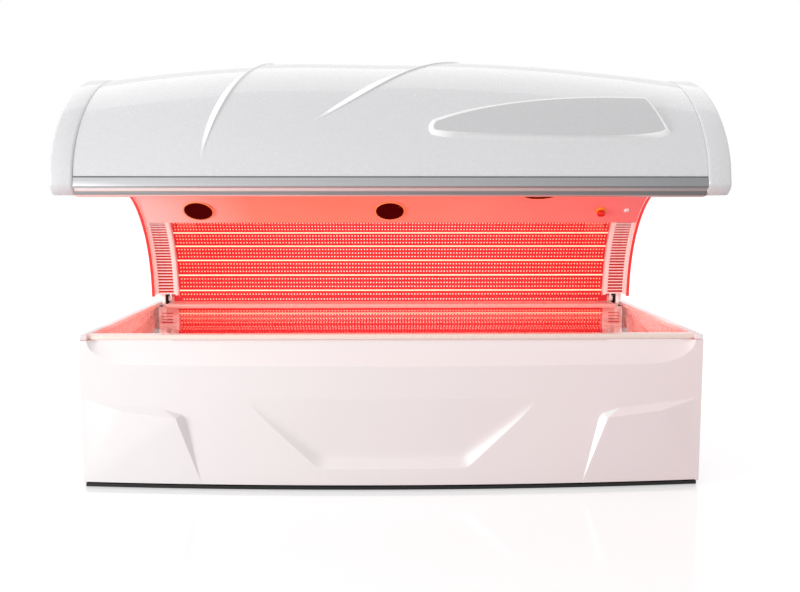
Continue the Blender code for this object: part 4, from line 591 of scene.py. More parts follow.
def hood_place(x, way, lift):
    """Points on the arch, lifted off it: x along the bed, way in metres over the arch."""
    share = way / ARCH_LENGTH
    rise = hood_rise(x)
    y, z = hood_section(rise, share)
    before = hood_section(rise, np.maximum(share - SHARE_STEP, 0.0))
    after = hood_section(rise, np.minimum(share + SHARE_STEP, 1.0))
    run = np.hypot(after[0] - before[0], after[1] - before[1])
    out_y = (before[1] - after[1]) / run
    out_z = (after[0] - before[0]) / run
    return np.stack([x, y + out_y * lift, z + out_z * lift], -1)


print("hood height over its foot:", hood_rise(np.array([0.0, SHELL_HALF])).round(3))

# %% Heights of the swoops and the teardrop
SWOOPS = [(((-0.644, 0.060), (-0.657, 0.210), (-0.430, 0.560)), 0.015, 0.45, 0.030),
          (((-0.285, 0.155), (-0.140, 0.235), (0.330, 0.560)), 0.015, 0.60, 0.055)]
SWOOP_STEPS = 240
CREST_DROP = 0.40
CREST_WIDTH = 0.006
TEAR_WALL = 0.012
TEAR_RISE = 0.013
TEAR_LIP = 0.005
TEAR_SPAN = (0.145, 0.345)
TEAR_GROWTH = (0.6, 1.4)
# The drop's lip gets a painted highlight that stays faint along its low edge, away from its left tip; a
# swoop's wall gets one once the swoop is strong enough.
LIP_LOW = 0.162
LIP_LOW_FADE = 0.016
LIP_LEFT = 0.22
LIP_LEFT_FADE = 0.06
LIP_FAINT = 0.15
WALL_START = 0.25
WALL_GAIN = 2.5


def smooth(part):
    part = np.clip(part, 0.0, 1.0)
    return part * part * (3 - 2 * part)


def bend(start, middle, end, steps):
    t = np.linspace(0.0, 1.0, steps)[:, None]
    return np.array(start) * (1 - t) ** 2 + 2 * np.array(middle) * t * (1 - t) + np.array(end) * t ** 2


def swoop_strength(t):
    return np.sin(math.pi / 2 * np.clip(2 * t, 0, 1)) * smooth((1 - t) * 6)


def swoop_run(x, way, points):
    """How far a spot lies to the right of a swoop's foot, and how strong the swoop is there."""
    line = bend(*points, SWOOP_STEPS) * (1.0, ARCH_LENGTH)
    t = np.interp(way, line[:, 1], np.linspace(0.0, 1.0, SWOOP_STEPS))
    return x - np.interp(way, line[:, 1], line[:, 0]), swoop_strength(t)


def swoop(x, way, points, rise, blend, width):
    """A wall that rises to a crest, a narrow drop behind it, and a long fade."""
    past, strength = swoop_run(x, way, points)
    wall = np.maximum(width * strength, 1e-4)
    drop = CREST_DROP * np.clip((past - wall) / CREST_WIDTH, 0.0, 1.0)
    fade = np.clip(1 - (past - wall) / blend, 0.0, 1.0)
    return rise * strength * np.clip(past / wall, 0.0, 1.0) * (1 - drop) * (0.5 * fade + 0.5 * smooth(fade))


tear_top = bend((0.138, 0.164), (0.390, 0.238), (0.908, 0.256), 40)
tear_loop = np.vstack([tear_top, [(0.940, 0.195), (0.974, 0.107), (0.150, 0.110), (0.120, 0.138)]])
# Each round cuts every corner off at a quarter of its sides, which makes the outline smooth.
for cut in range(3):
    after = np.roll(tear_loop, -1, axis=0)
    quarters = [0.75 * tear_loop + 0.25 * after, 0.25 * tear_loop + 0.75 * after]
    tear_loop = np.stack(quarters, 1).reshape(-1, 2)
tear_loop = np.vstack([tear_loop, tear_loop[:1]]) * (1.0, ARCH_LENGTH)


def tear_depth(x, way):
    """How far inside the drop's closed outline a spot is."""
    spot = np.stack([x, way], -1)
    nearest = np.full(x.shape, 9.0)
    inside = np.zeros(x.shape, bool)
    for first, second in zip(tear_loop, tear_loop[1:]):
        run = second - first
        part = np.clip(((spot - first) @ run) / max(run @ run, 1e-12), 0.0, 1.0)
        nearest = np.minimum(nearest, np.linalg.norm(spot - first - part[..., None] * run, axis=-1))
        crosses = (first[1] > way) != (second[1] > way)
        reach = first[0] + (way - first[1]) * run[0] / (run[1] if run[1] else 1e-12)
        inside ^= crosses & (x < reach)
    return nearest * inside


def hood_height(x, way):
    """The drop's wall rises inwards. It is flatter than the arch, so it stands out further at its top."""
    drop = np.clip(tear_depth(x, way) / TEAR_WALL, 0.0, 1.0) * TEAR_RISE
    drop *= np.interp(way, TEAR_SPAN, TEAR_GROWTH)
    return np.maximum(*[swoop(x, way, *sizes) for sizes in SWOOPS]) + drop


def hood_painted_highlight(x, way):
    """Where the painted highlight goes: the walls of the swoops and the lip of the drop."""
    depth = tear_depth(x, way)
    on_lip = (depth > 0.0) & (depth < TEAR_WALL + TEAR_LIP)
    clear_of_foot = np.maximum(smooth((way - LIP_LOW) / LIP_LOW_FADE), smooth((LIP_LEFT - x) / LIP_LEFT_FADE))
    walls = on_lip * (LIP_FAINT + (1 - LIP_FAINT) * clear_of_foot)
    for points, *_, width in SWOOPS:
        past, strength = swoop_run(x, way, points)
        on_wall = (past > 0.0) & (past < width * strength)
        walls = np.maximum(walls, on_wall * smooth((strength - WALL_START) * WALL_GAIN))
    return walls


print("teardrop outline points:", len(tear_loop))

# %% The hood's skin
CREST_STEPS = 80
hood_lines = [tear_loop, beside(tear_loop, -TEAR_WALL), beside(tear_loop, -TEAR_WALL - TEAR_LIP)]
for points, *_, width in SWOOPS:
    edge = bend(*points, CREST_STEPS) * (1.0, ARCH_LENGTH)
    strength = swoop_strength(np.linspace(0.0, 1.0, CREST_STEPS))
    crest = edge + np.stack([width * strength, 0.0 * strength], -1)
    hood_lines += [edge, crest, crest + (CREST_WIDTH, 0.0)]
hood_spots, hood_faces = triangulated(
    hood_lines, np.linspace(-SHELL_HALF, SHELL_HALF, 180), np.linspace(0.0, ARCH_LENGTH, 113))
hood_x, hood_way = hood_spots.T
hood_outer = hood_place(hood_x, hood_way, rounded(hood_height)(hood_x, hood_way))
hood_inner = hood_place(hood_x, hood_way, -SHEET)
hood_skin = solid("hood_skin", *two_sided(hood_outer, hood_inner, hood_faces), hood_white, 60.0)
# Painted shade inside the teardrop, and a painted highlight on the swoops' walls and the drop's lip.
drop_painted_shade = np.clip(tear_depth(hood_x, hood_way) / TEAR_WALL * 4.0 - 3.0, 0.0, 1.0)
store(hood_skin, "drop", np.tile(drop_painted_shade, 2))
store(hood_skin, "edge", np.tile(rounded(hood_painted_highlight)(hood_x, hood_way), 2))
settle(hood_skin, "canopy", "shell_white", "canopy_shell")

# %% [markdown]
# ## The end caps
# Each end of the hood is closed by a cap, a little proud of the hood with a rounded bead where the two meet
# and a soft outer edge. It could be bevelled, but a stack of rings gives each rounding its own size. The
# flat soffit under the overhang is part of the same moulding.

# %% End caps
CAP_PROUD = 0.010
CAP_SPREAD = CAP_PROUD * 0.6
CAP_EDGE = 0.012
CAP_STEPS = 96
SOFFIT_HALF = 0.002
SOFFIT_SET_BACK = 0.0208


def cap_ring(inset):
    """Y and Z of a cap's outline, moved inwards by the inset."""
    share = np.linspace(0.0, 1.0, CAP_STEPS)
    rise = hood_rise(HALF_CANOPY) + CAP_PROUD
    y, z = hood_section(rise, share, inset - CAP_SPREAD)
    low = SOFFIT_Z - SHEET + inset
    rear = HOOD_Y + REAR_REACH + CAP_SPREAD - inset
    front = [(TRIM_FACE + CAP_EDGE * 1.3 + inset, low),
             (TRIM_FACE - CAP_EDGE * 0.2 + inset, TRIM_NOSE - 0.012),
             (TRIM_FACE - CAP_EDGE * 0.8 + inset, TRIM_NOSE - 0.003),
             (TRIM_FACE - CAP_EDGE + inset, TRIM_NOSE + 0.008)]
    back = [(rear, TRIM_NOSE), (rear - CAP_EDGE * 1.6, low)]
    return np.array(front + list(zip(y, z)) + back)


# Each ring of the bead and the rounded edge: how far it is moved inwards, and its X
CAP_BEAD = [(0.016, HALF_CANOPY - 0.014), (0.0145, CAP_JOINT), (0.0060, CAP_JOINT + 0.0006),
            (0.0026, CAP_JOINT + 0.0026), (0.0008, CAP_JOINT + 0.0056), (0.0, CAP_JOINT + 0.010),
            (0.0, HALF_CANOPY - 0.014), (0.0010, HALF_CANOPY - 0.0095), (0.0034, HALF_CANOPY - 0.0060),
            (0.0070, HALF_CANOPY - 0.0034), (0.0120, HALF_CANOPY - 0.0020)]
# The rings of the bulged outer face: their size, and their X
CAP_FACE = [(0.95, HALF_CANOPY - 0.0010), (0.85, HALF_CANOPY - 0.0003), (0.70, HALF_CANOPY)]


def stacked(rings):
    """Points and faces of a closed form from rings with the same number of points."""
    count = len(rings[0])
    points = [tuple(spot) for ring in rings for spot in ring]
    last = len(points) - count
    faces = []
    for level in range(0, last, count):
        for spot in range(count):
            after = (spot + 1) % count
            faces.append((level + spot, level + after, level + count + after, level + count + spot))
    return points, faces + [list(range(count)), list(range(last, len(points)))]


def extrusion(outline, low, high):
    """Points and faces of a Y and Z outline carried along X."""
    return stacked([[(x, y, z) for y, z in outline] for x in (low, high)])


def cap_form(side):
    face = cap_ring(CAP_EDGE)
    middle = face.mean(0)
    rings = [(cap_ring(inset), x) for inset, x in CAP_BEAD]
    rings += [(middle + (face - middle) * size, x) for size, x in CAP_FACE]
    return stacked([[(side * x, y, z) for y, z in ring] for ring, x in rings])


def joined(*forms):
    points, faces = [], []
    for form_points, form_faces in forms:
        start = len(points)
        points += form_points
        faces += [[start + corner for corner in corners] for corners in form_faces]
    return points, faces


soffit_front = TRIM_FACE + SOFFIT_SET_BACK
soffit_rear = HOOD_Y + REAR_REACH
soffit_low = SOFFIT_Z - SOFFIT_HALF
soffit_high = SOFFIT_Z + SOFFIT_HALF
flange_top = HOOD_FOOT - GAP
soffit_line = [(soffit_front, soffit_low), (soffit_rear, soffit_low), (soffit_rear, flange_top),
               (soffit_rear - SHEET, flange_top), (soffit_rear - SHEET, soffit_high),
               (soffit_front, soffit_high)]
for side, word in SIDES:
    soffit = extrusion(soffit_line, side * (HALF_BASE + GAP), side * (CAP_JOINT + 0.006))
    cap = solid("end_cap_" + word, *joined(cap_form(side), soffit), hood_white, 50.0)
    settle(cap, "canopy", "shell_white", "canopy_end_cap_" + word)

# %% [markdown]
# ## The base front
# The front of the base is a bowed sheet with a sloped band along its top, a chevron pressed into its middle
# and a raised facet at each end. The facets are flat triangles, so their heights are worked out triangle by
# triangle, and averaged over about a millimetre, as a sheet drawn over a mould rounds every crease.

# %% Heights of the chevron and the facets
RIM_FRONT = -0.5175
FASCIA_TOP = 0.4832
FASCIA_FOOT = 0.018
BAND_FOOT = 0.4077
CHEVRON = ((-0.482, 0.300, 0.0), (-0.226, 0.104, -0.022), (0.226, 0.104, -0.022), (0.482, 0.300, 0.0))
CHEVRON_EDGE = ((-0.240, 0.072, 0.0), (0.240, 0.072, 0.0))
FACET = ((1.008, 0.294, 0.0), (0.875, 0.257, 0.0144), (0.692, 0.238, 0.0234), (0.616, 0.012, 0.0))
FACET_EDGE = ((0.740, 0.266, 0.0), (0.681, 0.249, 0.0), (0.668, 0.234, 0.0))
FACET_FAR = (1.010, 0.012, 0.0)
FOOT_ROUND = 0.012
FACET_FOOT = 0.004


def front_triangles():
    """The facets of the right panel and their twins on the left."""
    outer, shoulder, apex, foot = FACET
    first, second, third = FACET_EDGE
    panel = [(outer, shoulder, FACET_FAR), (shoulder, apex, FACET_FAR), (apex, foot, FACET_FAR),
             (outer, first, shoulder), (shoulder, first, apex), (apex, first, second), (apex, second, third),
             (apex, third, foot)]
    return panel + [[(-x, z, h) for x, z, h in corners] for corners in panel]


def plane(x, z, a, b, c):
    """The height of the plane through three corners, and each spot's shares of the last two."""
    area = (b[0] - a[0]) * (c[1] - a[1]) - (c[0] - a[0]) * (b[1] - a[1])
    share_b = ((x - a[0]) * (c[1] - a[1]) - (c[0] - a[0]) * (z - a[1])) / area
    share_c = ((b[0] - a[0]) * (z - a[1]) - (x - a[0]) * (b[1] - a[1])) / area
    return a[2] + share_b * (b[2] - a[2]) + share_c * (c[2] - a[2]), share_b, share_c


def soft_high(first, second):
    """The higher of two heights, with a round where they meet."""
    near = np.clip(1 - np.abs(first - second) / FOOT_ROUND, 0.0, 1.0)
    return np.maximum(first, second) + near ** 2 * FOOT_ROUND / 4


def chevron(x, z):
    """Four planes that meet in soft hollows and end in a crisp edge at the front's own height."""
    top_left, low_left, low_right, top_right = CHEVRON
    floor = plane(x, z, top_left, top_right, low_right)[0]
    left = plane(x, z, top_left, CHEVRON_EDGE[0], low_left)[0]
    right = plane(x, z, top_right, CHEVRON_EDGE[1], low_right)[0]
    low = plane(x, z, *CHEVRON_EDGE, low_left)[0]
    return np.minimum(soft_high(soft_high(floor, low), np.maximum(left, right)), 0.0) * (z < CHEVRON[0][1])


def relief(x, z):
    """The facets, with a soft start at their foot, and the chevron."""
    height = np.zeros(x.shape)
    for corners in front_triangles():
        level, share_b, share_c = plane(x, z, *corners)
        inside = (share_b >= 0) & (share_c >= 0) & (share_b + share_c <= 1)
        height = np.where(inside, level, height)
    return height ** 2 / (height + FACET_FOOT) * (1 + FACET_FOOT / FACET[2][2]) + chevron(x, z)


print("front triangles:", len(front_triangles()))

# %% The base front's skin
BAND_HALF = 0.983
BAND_FADE = 0.010
BAND_CORNER = 0.150
BAND_BLUR = 0.003
BAND_SET_BACK = 0.004
FRONT_PROUD = 0.015
FRONT_BOW = 0.050
LEAN_START = 0.15
LEAN_SPAN = 0.2


def front_bow(x):
    return RIM_FRONT - FRONT_PROUD - FRONT_BOW * (1 - (x / HALF_BASE) ** 2)


def band_edge(x):
    """The height of the band's lower edge, which turns up at both ends."""
    run = np.clip((np.abs(x) - BAND_HALF + BAND_CORNER) / BAND_CORNER, 0.0, 1.0)
    return BAND_FOOT + (FASCIA_TOP - BAND_FOOT) * (1 - np.sqrt(1 - run ** 2))


def front_depth(x, z):
    """The Y of the front, from its bow, its sloped band and its relief."""
    z = np.minimum(z, FASCIA_TOP)
    share = np.clip((z - band_edge(x)) / np.maximum(FASCIA_TOP - band_edge(x), 1e-4), 0.0, 1.0)
    slope = share * np.clip((BAND_HALF - np.abs(x)) / BAND_FADE, 0.0, 1.0)
    return front_bow(x) + slope * (RIM_FRONT + BAND_SET_BACK - front_bow(x)) - relief(x, z)


band_xs = BAND_HALF * np.sin(np.linspace(-math.pi / 2, math.pi / 2, 161))
front_lines = [np.stack([band_xs, band_edge(band_xs)], -1)]
for line in (CHEVRON, (CHEVRON[0], *CHEVRON_EDGE, CHEVRON[3]), (CHEVRON[0], CHEVRON[3]),
             (CHEVRON[1], CHEVRON_EDGE[0]), (CHEVRON[2], CHEVRON_EDGE[1])):
    front_lines += [np.array(pair)[:, :2] for pair in zip(line, line[1:])]
for line in (FACET, (FACET[0], *FACET_EDGE, FACET[3]), (FACET[2], FACET_EDGE[0]), (FACET[2], FACET_EDGE[1])):
    for first, second in zip(line, line[1:]):
        pair = np.array([first, second])[:, :2]
        front_lines += [pair, pair * (-1.0, 1.0)]
front_spots, front_faces = triangulated(
    front_lines, np.linspace(-HALF_BASE, HALF_BASE, 169), np.linspace(FASCIA_FOOT, FASCIA_TOP, 41))
front_x, front_z = front_spots.T
front_outer = np.stack([front_x, rounded(front_depth)(front_x, front_z), front_z], -1)
front_inner = front_outer + (0.0, SHEET, 0.0)
base_front = solid("base_front", *two_sided(front_outer, front_inner, front_faces), front_white, 60.0)
# Painted lamp light on the sloped band, and more painted pink lamp light towards the right end.
band_painted_light = np.clip((front_z - band_edge(front_x)) / BAND_BLUR + 0.5, 0.0, 1.0)
store(base_front, "band", np.tile(band_painted_light, 2))
store(base_front, "right", np.tile((front_x / HALF_BASE + 1) / 2, 2))
# Relief that rises to the right faces left, where the strongest lamp stands, and takes a painted highlight.
to_right = relief(front_x + CREASE_ROUND, front_z)
to_left = relief(front_x - CREASE_ROUND, front_z)
lean = (to_right - to_left) / (2 * CREASE_ROUND)
store(base_front, "edge", np.tile(smooth((lean - LEAN_START) / LEAN_SPAN), 2))
settle(base_front, "base", "casing_white", "front_fascia")

# %% [markdown]
# ## Sheets with softened edges
# The end panels, rims, rear panel, skirt and trim are folded sheets and profiles whose solids already have
# the right shape. Real edges are never razor sharp: a small round catches the light. So these pieces are
# copies of the solids with every sharp edge rounded by about a millimetre. The end panels' inner faces are
# lit by the lamps, so they take the plates' painted pink light and faint painted glow.

# %% Softened sheets
for side, word in SIDES:
    panel = softened("base_end_panel_" + word, 0.0016, casing_white, "base", "casing_white")
    panel.data.materials.append(plate_pink.material)
    for polygon in panel.data.polygons:
        polygon.material_index = int(polygon.normal.x * side < -0.9)
softened("rim_front", 0.0012, rim_white, "base", "rim_white")
softened("rim_rear", 0.0010, rim_rose, "base", "rim_white")
softened("base_rear_panel", 0.0012, casing_white, "base", "casing_white")
softened("canopy_rear_skirt", 0.0010, hood_white, "canopy", "shell_white", 3)
softened("front_trim", 0.0006, trim_metal, "canopy", "trim_metal")

# %% [markdown]
# ## The round inside of the canopy
# Inside the canopy runs a round cove: clear covers over the lamps, and between them the control strip that
# carries the fans and switches. All follow one circle, so each is placed by a distance from the circle's
# axis and an angle in degrees, measured up from the rear.

# %% Cove sizes, clear covers and the bench
COVE_Y = -0.0855
COVE_Z = 0.520
COVE_HALF = 0.9977
COVE_RADIUS = 0.474
COVER_SHEET = 0.004
SECTIONS = {"rear": (1.0, 43.35), "front": (88.15, 115.5)}
BENCH_Y = -0.0705
BENCH_REACH = 0.426
BENCH_TOP = 0.4832
BENCH_DISH = 0.050
BENCH_SHEET = 0.008
BENCH_HALF = 0.9847


def cove_arc(radius, start, end, steps):
    angles = np.radians(np.linspace(start, end, steps + 1))
    return list(zip(COVE_Y + radius * np.cos(angles), COVE_Z + radius * np.sin(angles)))


for word, (start, end) in SECTIONS.items():
    line = cove_arc(COVE_RADIUS - COVER_SHEET, start, end, 48) + cove_arc(COVE_RADIUS, end, start, 48)
    cover = solid("clear_cover_" + word, *extrusion(line, -COVE_HALF, COVE_HALF), clear_acrylic)
    settle(cover, "canopy", "clear_acrylic", "canopy_acrylic_" + word)

bench_ys = np.linspace(BENCH_Y - BENCH_REACH, BENCH_Y + BENCH_REACH, 61)
bench_zs = BENCH_TOP - BENCH_DISH * (1 - ((bench_ys - BENCH_Y) / BENCH_REACH) ** 2)
bench_line = list(zip(bench_ys, bench_zs)) + list(zip(bench_ys[::-1], bench_zs[::-1] - BENCH_SHEET))
bench = solid("clear_bench", *extrusion(bench_line, -BENCH_HALF, BENCH_HALF), clear_acrylic)
settle(bench, "base", "clear_acrylic", "bench_acrylic")

# %% End plates of the cove
PLATE_INNER = 0.998
SKIRT_INSET = 0.016
skirt_back = HOOD_Y + REAR_REACH
skirt_low = 0.560
plate_back = skirt_back - SKIRT_INSET - SHEET - GAP
plate_low = skirt_low + SHEET + GAP
plate_line = cove_arc(COVE_RADIUS - 0.012, 1.0, 111.0, 90) + cove_arc(COVE_RADIUS + 0.086, 110.0, 62.0, 36)
plate_line += [(plate_back, SOFFIT_Z), (plate_back, skirt_low + 0.060),
               (plate_back - 0.026, skirt_low + 0.024), (plate_back - 0.041, plate_low),
               (plate_back - 0.066, plate_low), (0.4375, 0.547)]
for side, word in SIDES:
    form = extrusion(plate_line, side * PLATE_INNER, side * HALF_BASE)
    plate = solid("cove_plate_" + word, *form, plate_pink)
    # The plate's edges, facing the cove, take painted red lamp light.
    plate.data.materials.append(plate_edge.material)
    for polygon in plate.data.polygons[:len(plate_line)]:
        polygon.material_index = 1
    settle(plate, "canopy", "trough_plate", "trough_side_plate_" + word)

# %% [markdown]
# ## Lamps
# Thousands of lamps in rows are the very thing that Geometry Nodes are for: a grid of points is bent round
# the cove, and a small six-sided lamp is set on each point, facing the axis. The tree takes its sizes as
# named inputs, so the same tree lights both sections of the cove.

# %% Helpers for geometry trees
def geometry_tree(name, **inputs):
    tree = bpy.data.node_groups.new(name, "GeometryNodeTree")
    for label, kind in inputs.items():
        tree.interface.new_socket(label, in_out="INPUT", socket_type="NodeSocket" + kind)
    tree.interface.new_socket("Geometry", in_out="OUTPUT", socket_type="NodeSocketGeometry")
    nodes = Nodes(tree)
    entry = tree.nodes.new("NodeGroupInput")
    return nodes, {label: Value(nodes, entry.outputs[label]) for label in inputs}


def grid_of(nodes, width, depth, columns, rows):
    return nodes.add("GeometryNodeMeshGrid", None, {
        "Size X": width, "Size Y": depth, "Vertices X": columns, "Vertices Y": rows}, "Mesh")


def stud(nodes, sides, radius, narrowing, height):
    """A low cone without its tip."""
    return nodes.add("GeometryNodeMeshCone", None, {
        "Vertices": sides, "Radius Top": radius * narrowing, "Radius Bottom": radius,
        "Depth": height}, "Mesh")


def set_on(nodes, points, form, turn=(0.0, 0.0, 0.0)):
    return nodes.add("GeometryNodeInstanceOnPoints", None, {
        "Points": points, "Instance": form, "Rotation": turn}, "Instances")


def moved_to(nodes, geometry, place=(0.0, 0.0, 0.0), turn=(0.0, 0.0, 0.0)):
    return nodes.add("GeometryNodeTransform", None, {
        "Geometry": geometry, "Translation": place, "Rotation": turn}, "Geometry")


def close_tree(nodes, geometry, finish):
    """Makes the instances real, paints them and leaves the tree."""
    real = nodes.add("GeometryNodeRealizeInstances", None, {"Geometry": geometry}, "Geometry")
    painted = nodes.add("GeometryNodeSetMaterial", None, {"Geometry": real, "Material": finish}, "Geometry")
    leave = nodes.tree.nodes.new("NodeGroupOutput")
    nodes.feed(leave.inputs["Geometry"], painted)


def grow(name, nodes, **sizes):
    """A plain mesh made by the tree with these sizes."""
    piece = bpy.data.objects.new(name, bpy.data.meshes.new(name + "_seed"))
    scene.collection.objects.link(piece)
    modifier = piece.modifiers.new("growth", "NODES")
    modifier.node_group = nodes.tree
    for item in nodes.tree.interface.items_tree:
        if item.in_out == "INPUT":
            modifier[item.identifier] = sizes[item.name]
    grown = piece.evaluated_get(bpy.context.evaluated_depsgraph_get())
    mesh = bpy.data.meshes.new_from_object(grown)
    piece.modifiers.remove(modifier)
    piece.data = mesh
    mesh.name = name
    return piece


print("geometry helpers ready")

# %% The lamp tree
LAMP_TOP = 0.7
lamp_nodes, lamp = geometry_tree(
    "lamps_round_cove", Length="Float", Columns="Int", Rows="Int", Radius="Float", Start="Float", End="Float",
    LampRadius="Float", LampHeight="Float", Finish="Material")
lamp_grid = grid_of(lamp_nodes, lamp["Length"], 1.0, lamp["Columns"], lamp["Rows"])
grid_spot = lamp_nodes.add("GeometryNodeInputPosition")
lamp_angle = lamp["Start"] + (lamp_nodes.part(grid_spot, "Y") + 0.5) * (lamp["End"] - lamp["Start"])
lamp_y = lamp["Radius"] * lamp_nodes.maths("COSINE", lamp_angle) + COVE_Y
lamp_z = lamp["Radius"] * lamp_nodes.maths("SINE", lamp_angle) + COVE_Z
lamp_spot = lamp_nodes.vector(lamp_nodes.part(grid_spot, "X"), lamp_y, lamp_z)
bent_grid = lamp_nodes.add("GeometryNodeSetPosition", None, {"Geometry": lamp_grid, "Position": lamp_spot})
# On the bent grid the same position node gives the bent places.
bent_y = lamp_nodes.part(grid_spot, "Y") - COVE_Y
bent_z = lamp_nodes.part(grid_spot, "Z") - COVE_Z
lamp_facing = lamp_nodes.vector(lamp_nodes.maths("ARCTAN2", bent_z, bent_y) + math.pi / 2)
lamp_form = stud(lamp_nodes, 6, lamp["LampRadius"], LAMP_TOP, lamp["LampHeight"])
close_tree(lamp_nodes, set_on(lamp_nodes, bent_grid, lamp_form, lamp_facing), lamp["Finish"])
print("lamp tree nodes:", len(lamp_nodes.tree.nodes))

# %% Lamps of the canopy
BOARD_RADIUS = 0.4875
LAMP_ROW = 1.95
FIRST_ROW = 0.85
LAST_ROW = 0.5
LAMPS = {"Length": 1.775, "Columns": 143, "LampRadius": 0.0030, "LampHeight": 0.0016,
         "Finish": lamp_glow.material}
for word, (start, end) in SECTIONS.items():
    first = start + FIRST_ROW
    rows = int((end - LAST_ROW - first) / LAMP_ROW) + 1
    last = first + (rows - 1) * LAMP_ROW
    lamps = grow("lamps_" + word, lamp_nodes, Rows=rows, Radius=BOARD_RADIUS - GAP,
                 Start=math.radians(first), End=math.radians(last), **LAMPS)
    settle(lamps, "canopy", "light_board")

# %% Lamps of the base
lower_nodes, lower = geometry_tree(
    "lamps_on_flat_board", Length="Float", Depth="Float", Columns="Int", Rows="Int", Place="Vector",
    Turn="Vector", LampRadius="Float", LampHeight="Float", Finish="Material")
lower_grid = grid_of(lower_nodes, lower["Length"], lower["Depth"], lower["Columns"], lower["Rows"])
lower_form = stud(lower_nodes, 6, lower["LampRadius"], LAMP_TOP, lower["LampHeight"])
lower_set = set_on(lower_nodes, lower_grid, lower_form)
close_tree(lower_nodes, moved_to(lower_nodes, lower_set, lower["Place"], lower["Turn"]), lower["Finish"])
TRAY_FLOOR = 0.3452
TRAY_REAR = 0.3885
FACE_OFF_TRAY = 0.0055
FLOOR_FACE = TRAY_FLOOR + FACE_OFF_TRAY
WALL_FACE = TRAY_REAR - FACE_OFF_TRAY
LYING = (0.0, 0.0, 0.0)
UPRIGHT = (math.pi / 2, 0.0, 0.0)
floor_lamps = grow("lamps_bench_floor", lower_nodes, Depth=0.740, Rows=44,
                   Place=(0.0, -0.058, FLOOR_FACE - GAP), Turn=LYING, **LAMPS)
settle(floor_lamps, "base", "light_board")
wall_lamps = grow("lamps_bench_wall", lower_nodes, Depth=0.083, Rows=6,
                  Place=(0.0, WALL_FACE + GAP, 0.425), Turn=UPRIGHT, **LAMPS)
settle(wall_lamps, "base", "light_board")

# %% [markdown]
# ## Joint strips between the boards
# Every 66 mm two lamp boards meet, and a pale strip covers the joint. The lamps beside it light it, and a
# painted glow stands for that light, so it shows as a bright cream line along the bed. Each strip is a
# straight bar, so one small tree sets a bar at each joint's angle round the cove.

# %% Joint strips
JOINT_ANGLES = (3.8, 11.6, 19.4, 27.2, 35.0)
JOINT_HALF = 0.898
strip_nodes, strip = geometry_tree(
    "joint_strips", Length="Float", Width="Float", Height="Float", Finish="Material")
strip_size = strip_nodes.vector(strip["Length"], strip["Width"], strip["Height"])
strip_bar = strip_nodes.add("GeometryNodeMeshCube", None, {"Size": strip_size, "Vertices X": 12}, "Mesh")
strip_sets = strip_nodes.tree.nodes.new("GeometryNodeJoinGeometry")
strip_reach = BOARD_RADIUS - 0.001
for degrees in JOINT_ANGLES:
    angle = math.radians(degrees)
    spot = (0.0, COVE_Y + strip_reach * math.cos(angle), COVE_Z + strip_reach * math.sin(angle))
    bar = moved_to(strip_nodes, strip_bar, spot, (angle + math.pi / 2, 0.0, 0.0))
    strip_nodes.feed(strip_sets.inputs[0], bar)
close_tree(strip_nodes, Value(strip_nodes, strip_sets.outputs[0]), strip["Finish"])
strips = grow("joint_strips_canopy", strip_nodes, Length=2 * JOINT_HALF, Width=0.0052, Height=0.0028,
              Finish=joint_glow.material)
settle(strips, "canopy", "light_board")

lower_line = [(WALL_FACE + GAP, 0.4535), (WALL_FACE - 0.0016, 0.4542), (WALL_FACE - 0.0016, 0.4580),
              (WALL_FACE + GAP, 0.4587)]
lower_strip = solid("joint_strip_bench", *extrusion(lower_line, -JOINT_HALF, JOINT_HALF), joint_glow)
settle(lower_strip, "base", "light_board")

# %% [markdown]
# ## The board on the rear rim
# The lamps run on down behind the canopy's lower edge, so that no dark gap shows between canopy and bench.
# A narrow board on the rear rim's upstand closes it. It is a thin plate with the same lamps as the bench.

# %% Upstand board
UPSTAND_FACE = 0.4355
UPSTAND_FRONT = UPSTAND_FACE - 0.0020
UPSTAND_LOW = 0.5015
UPSTAND_HIGH = 0.5440
UPSTAND_HALF = 0.930
upstand_line = [(UPSTAND_FACE - GAP, UPSTAND_LOW), (UPSTAND_FACE - GAP, UPSTAND_HIGH),
                (UPSTAND_FRONT, UPSTAND_HIGH), (UPSTAND_FRONT, UPSTAND_LOW)]
upstand_board = solid("upstand_board", *extrusion(upstand_line, -UPSTAND_HALF, UPSTAND_HALF), light_board)
settle(upstand_board, "base", "light_board")
upstand_lamps = grow("lamps_upstand", lower_nodes, Depth=0.017, Rows=2,
                     Place=(0.0, UPSTAND_FACE - 0.0022, 0.5195), Turn=UPRIGHT, **LAMPS)
settle(upstand_lamps, "base", "light_board")

# %% [markdown]
# ## Vent plates
# Each end of the cove has a curved plate with a ladder of slots, folded inwards beside the lamps. Slots can
# be cut with Booleans, which leave long thin faces. Here the plate is a sheet of cells instead: the cells of
# the slots stay empty, and a wall closes each side where a full cell meets an empty one.

# %% Vent plates
VENT_RADIUS = COVE_RADIUS + 0.006
VENT_SHEET = 0.002
VENT_PITCH = 0.013
VENT_SLOT = 0.0084
VENT_SLOTS = 26
VENT_COLUMNS = (0.909, 0.922, 0.9857, COVE_HALF)
FOLD_INNER = 0.904
FOLD_OUTER = 0.914


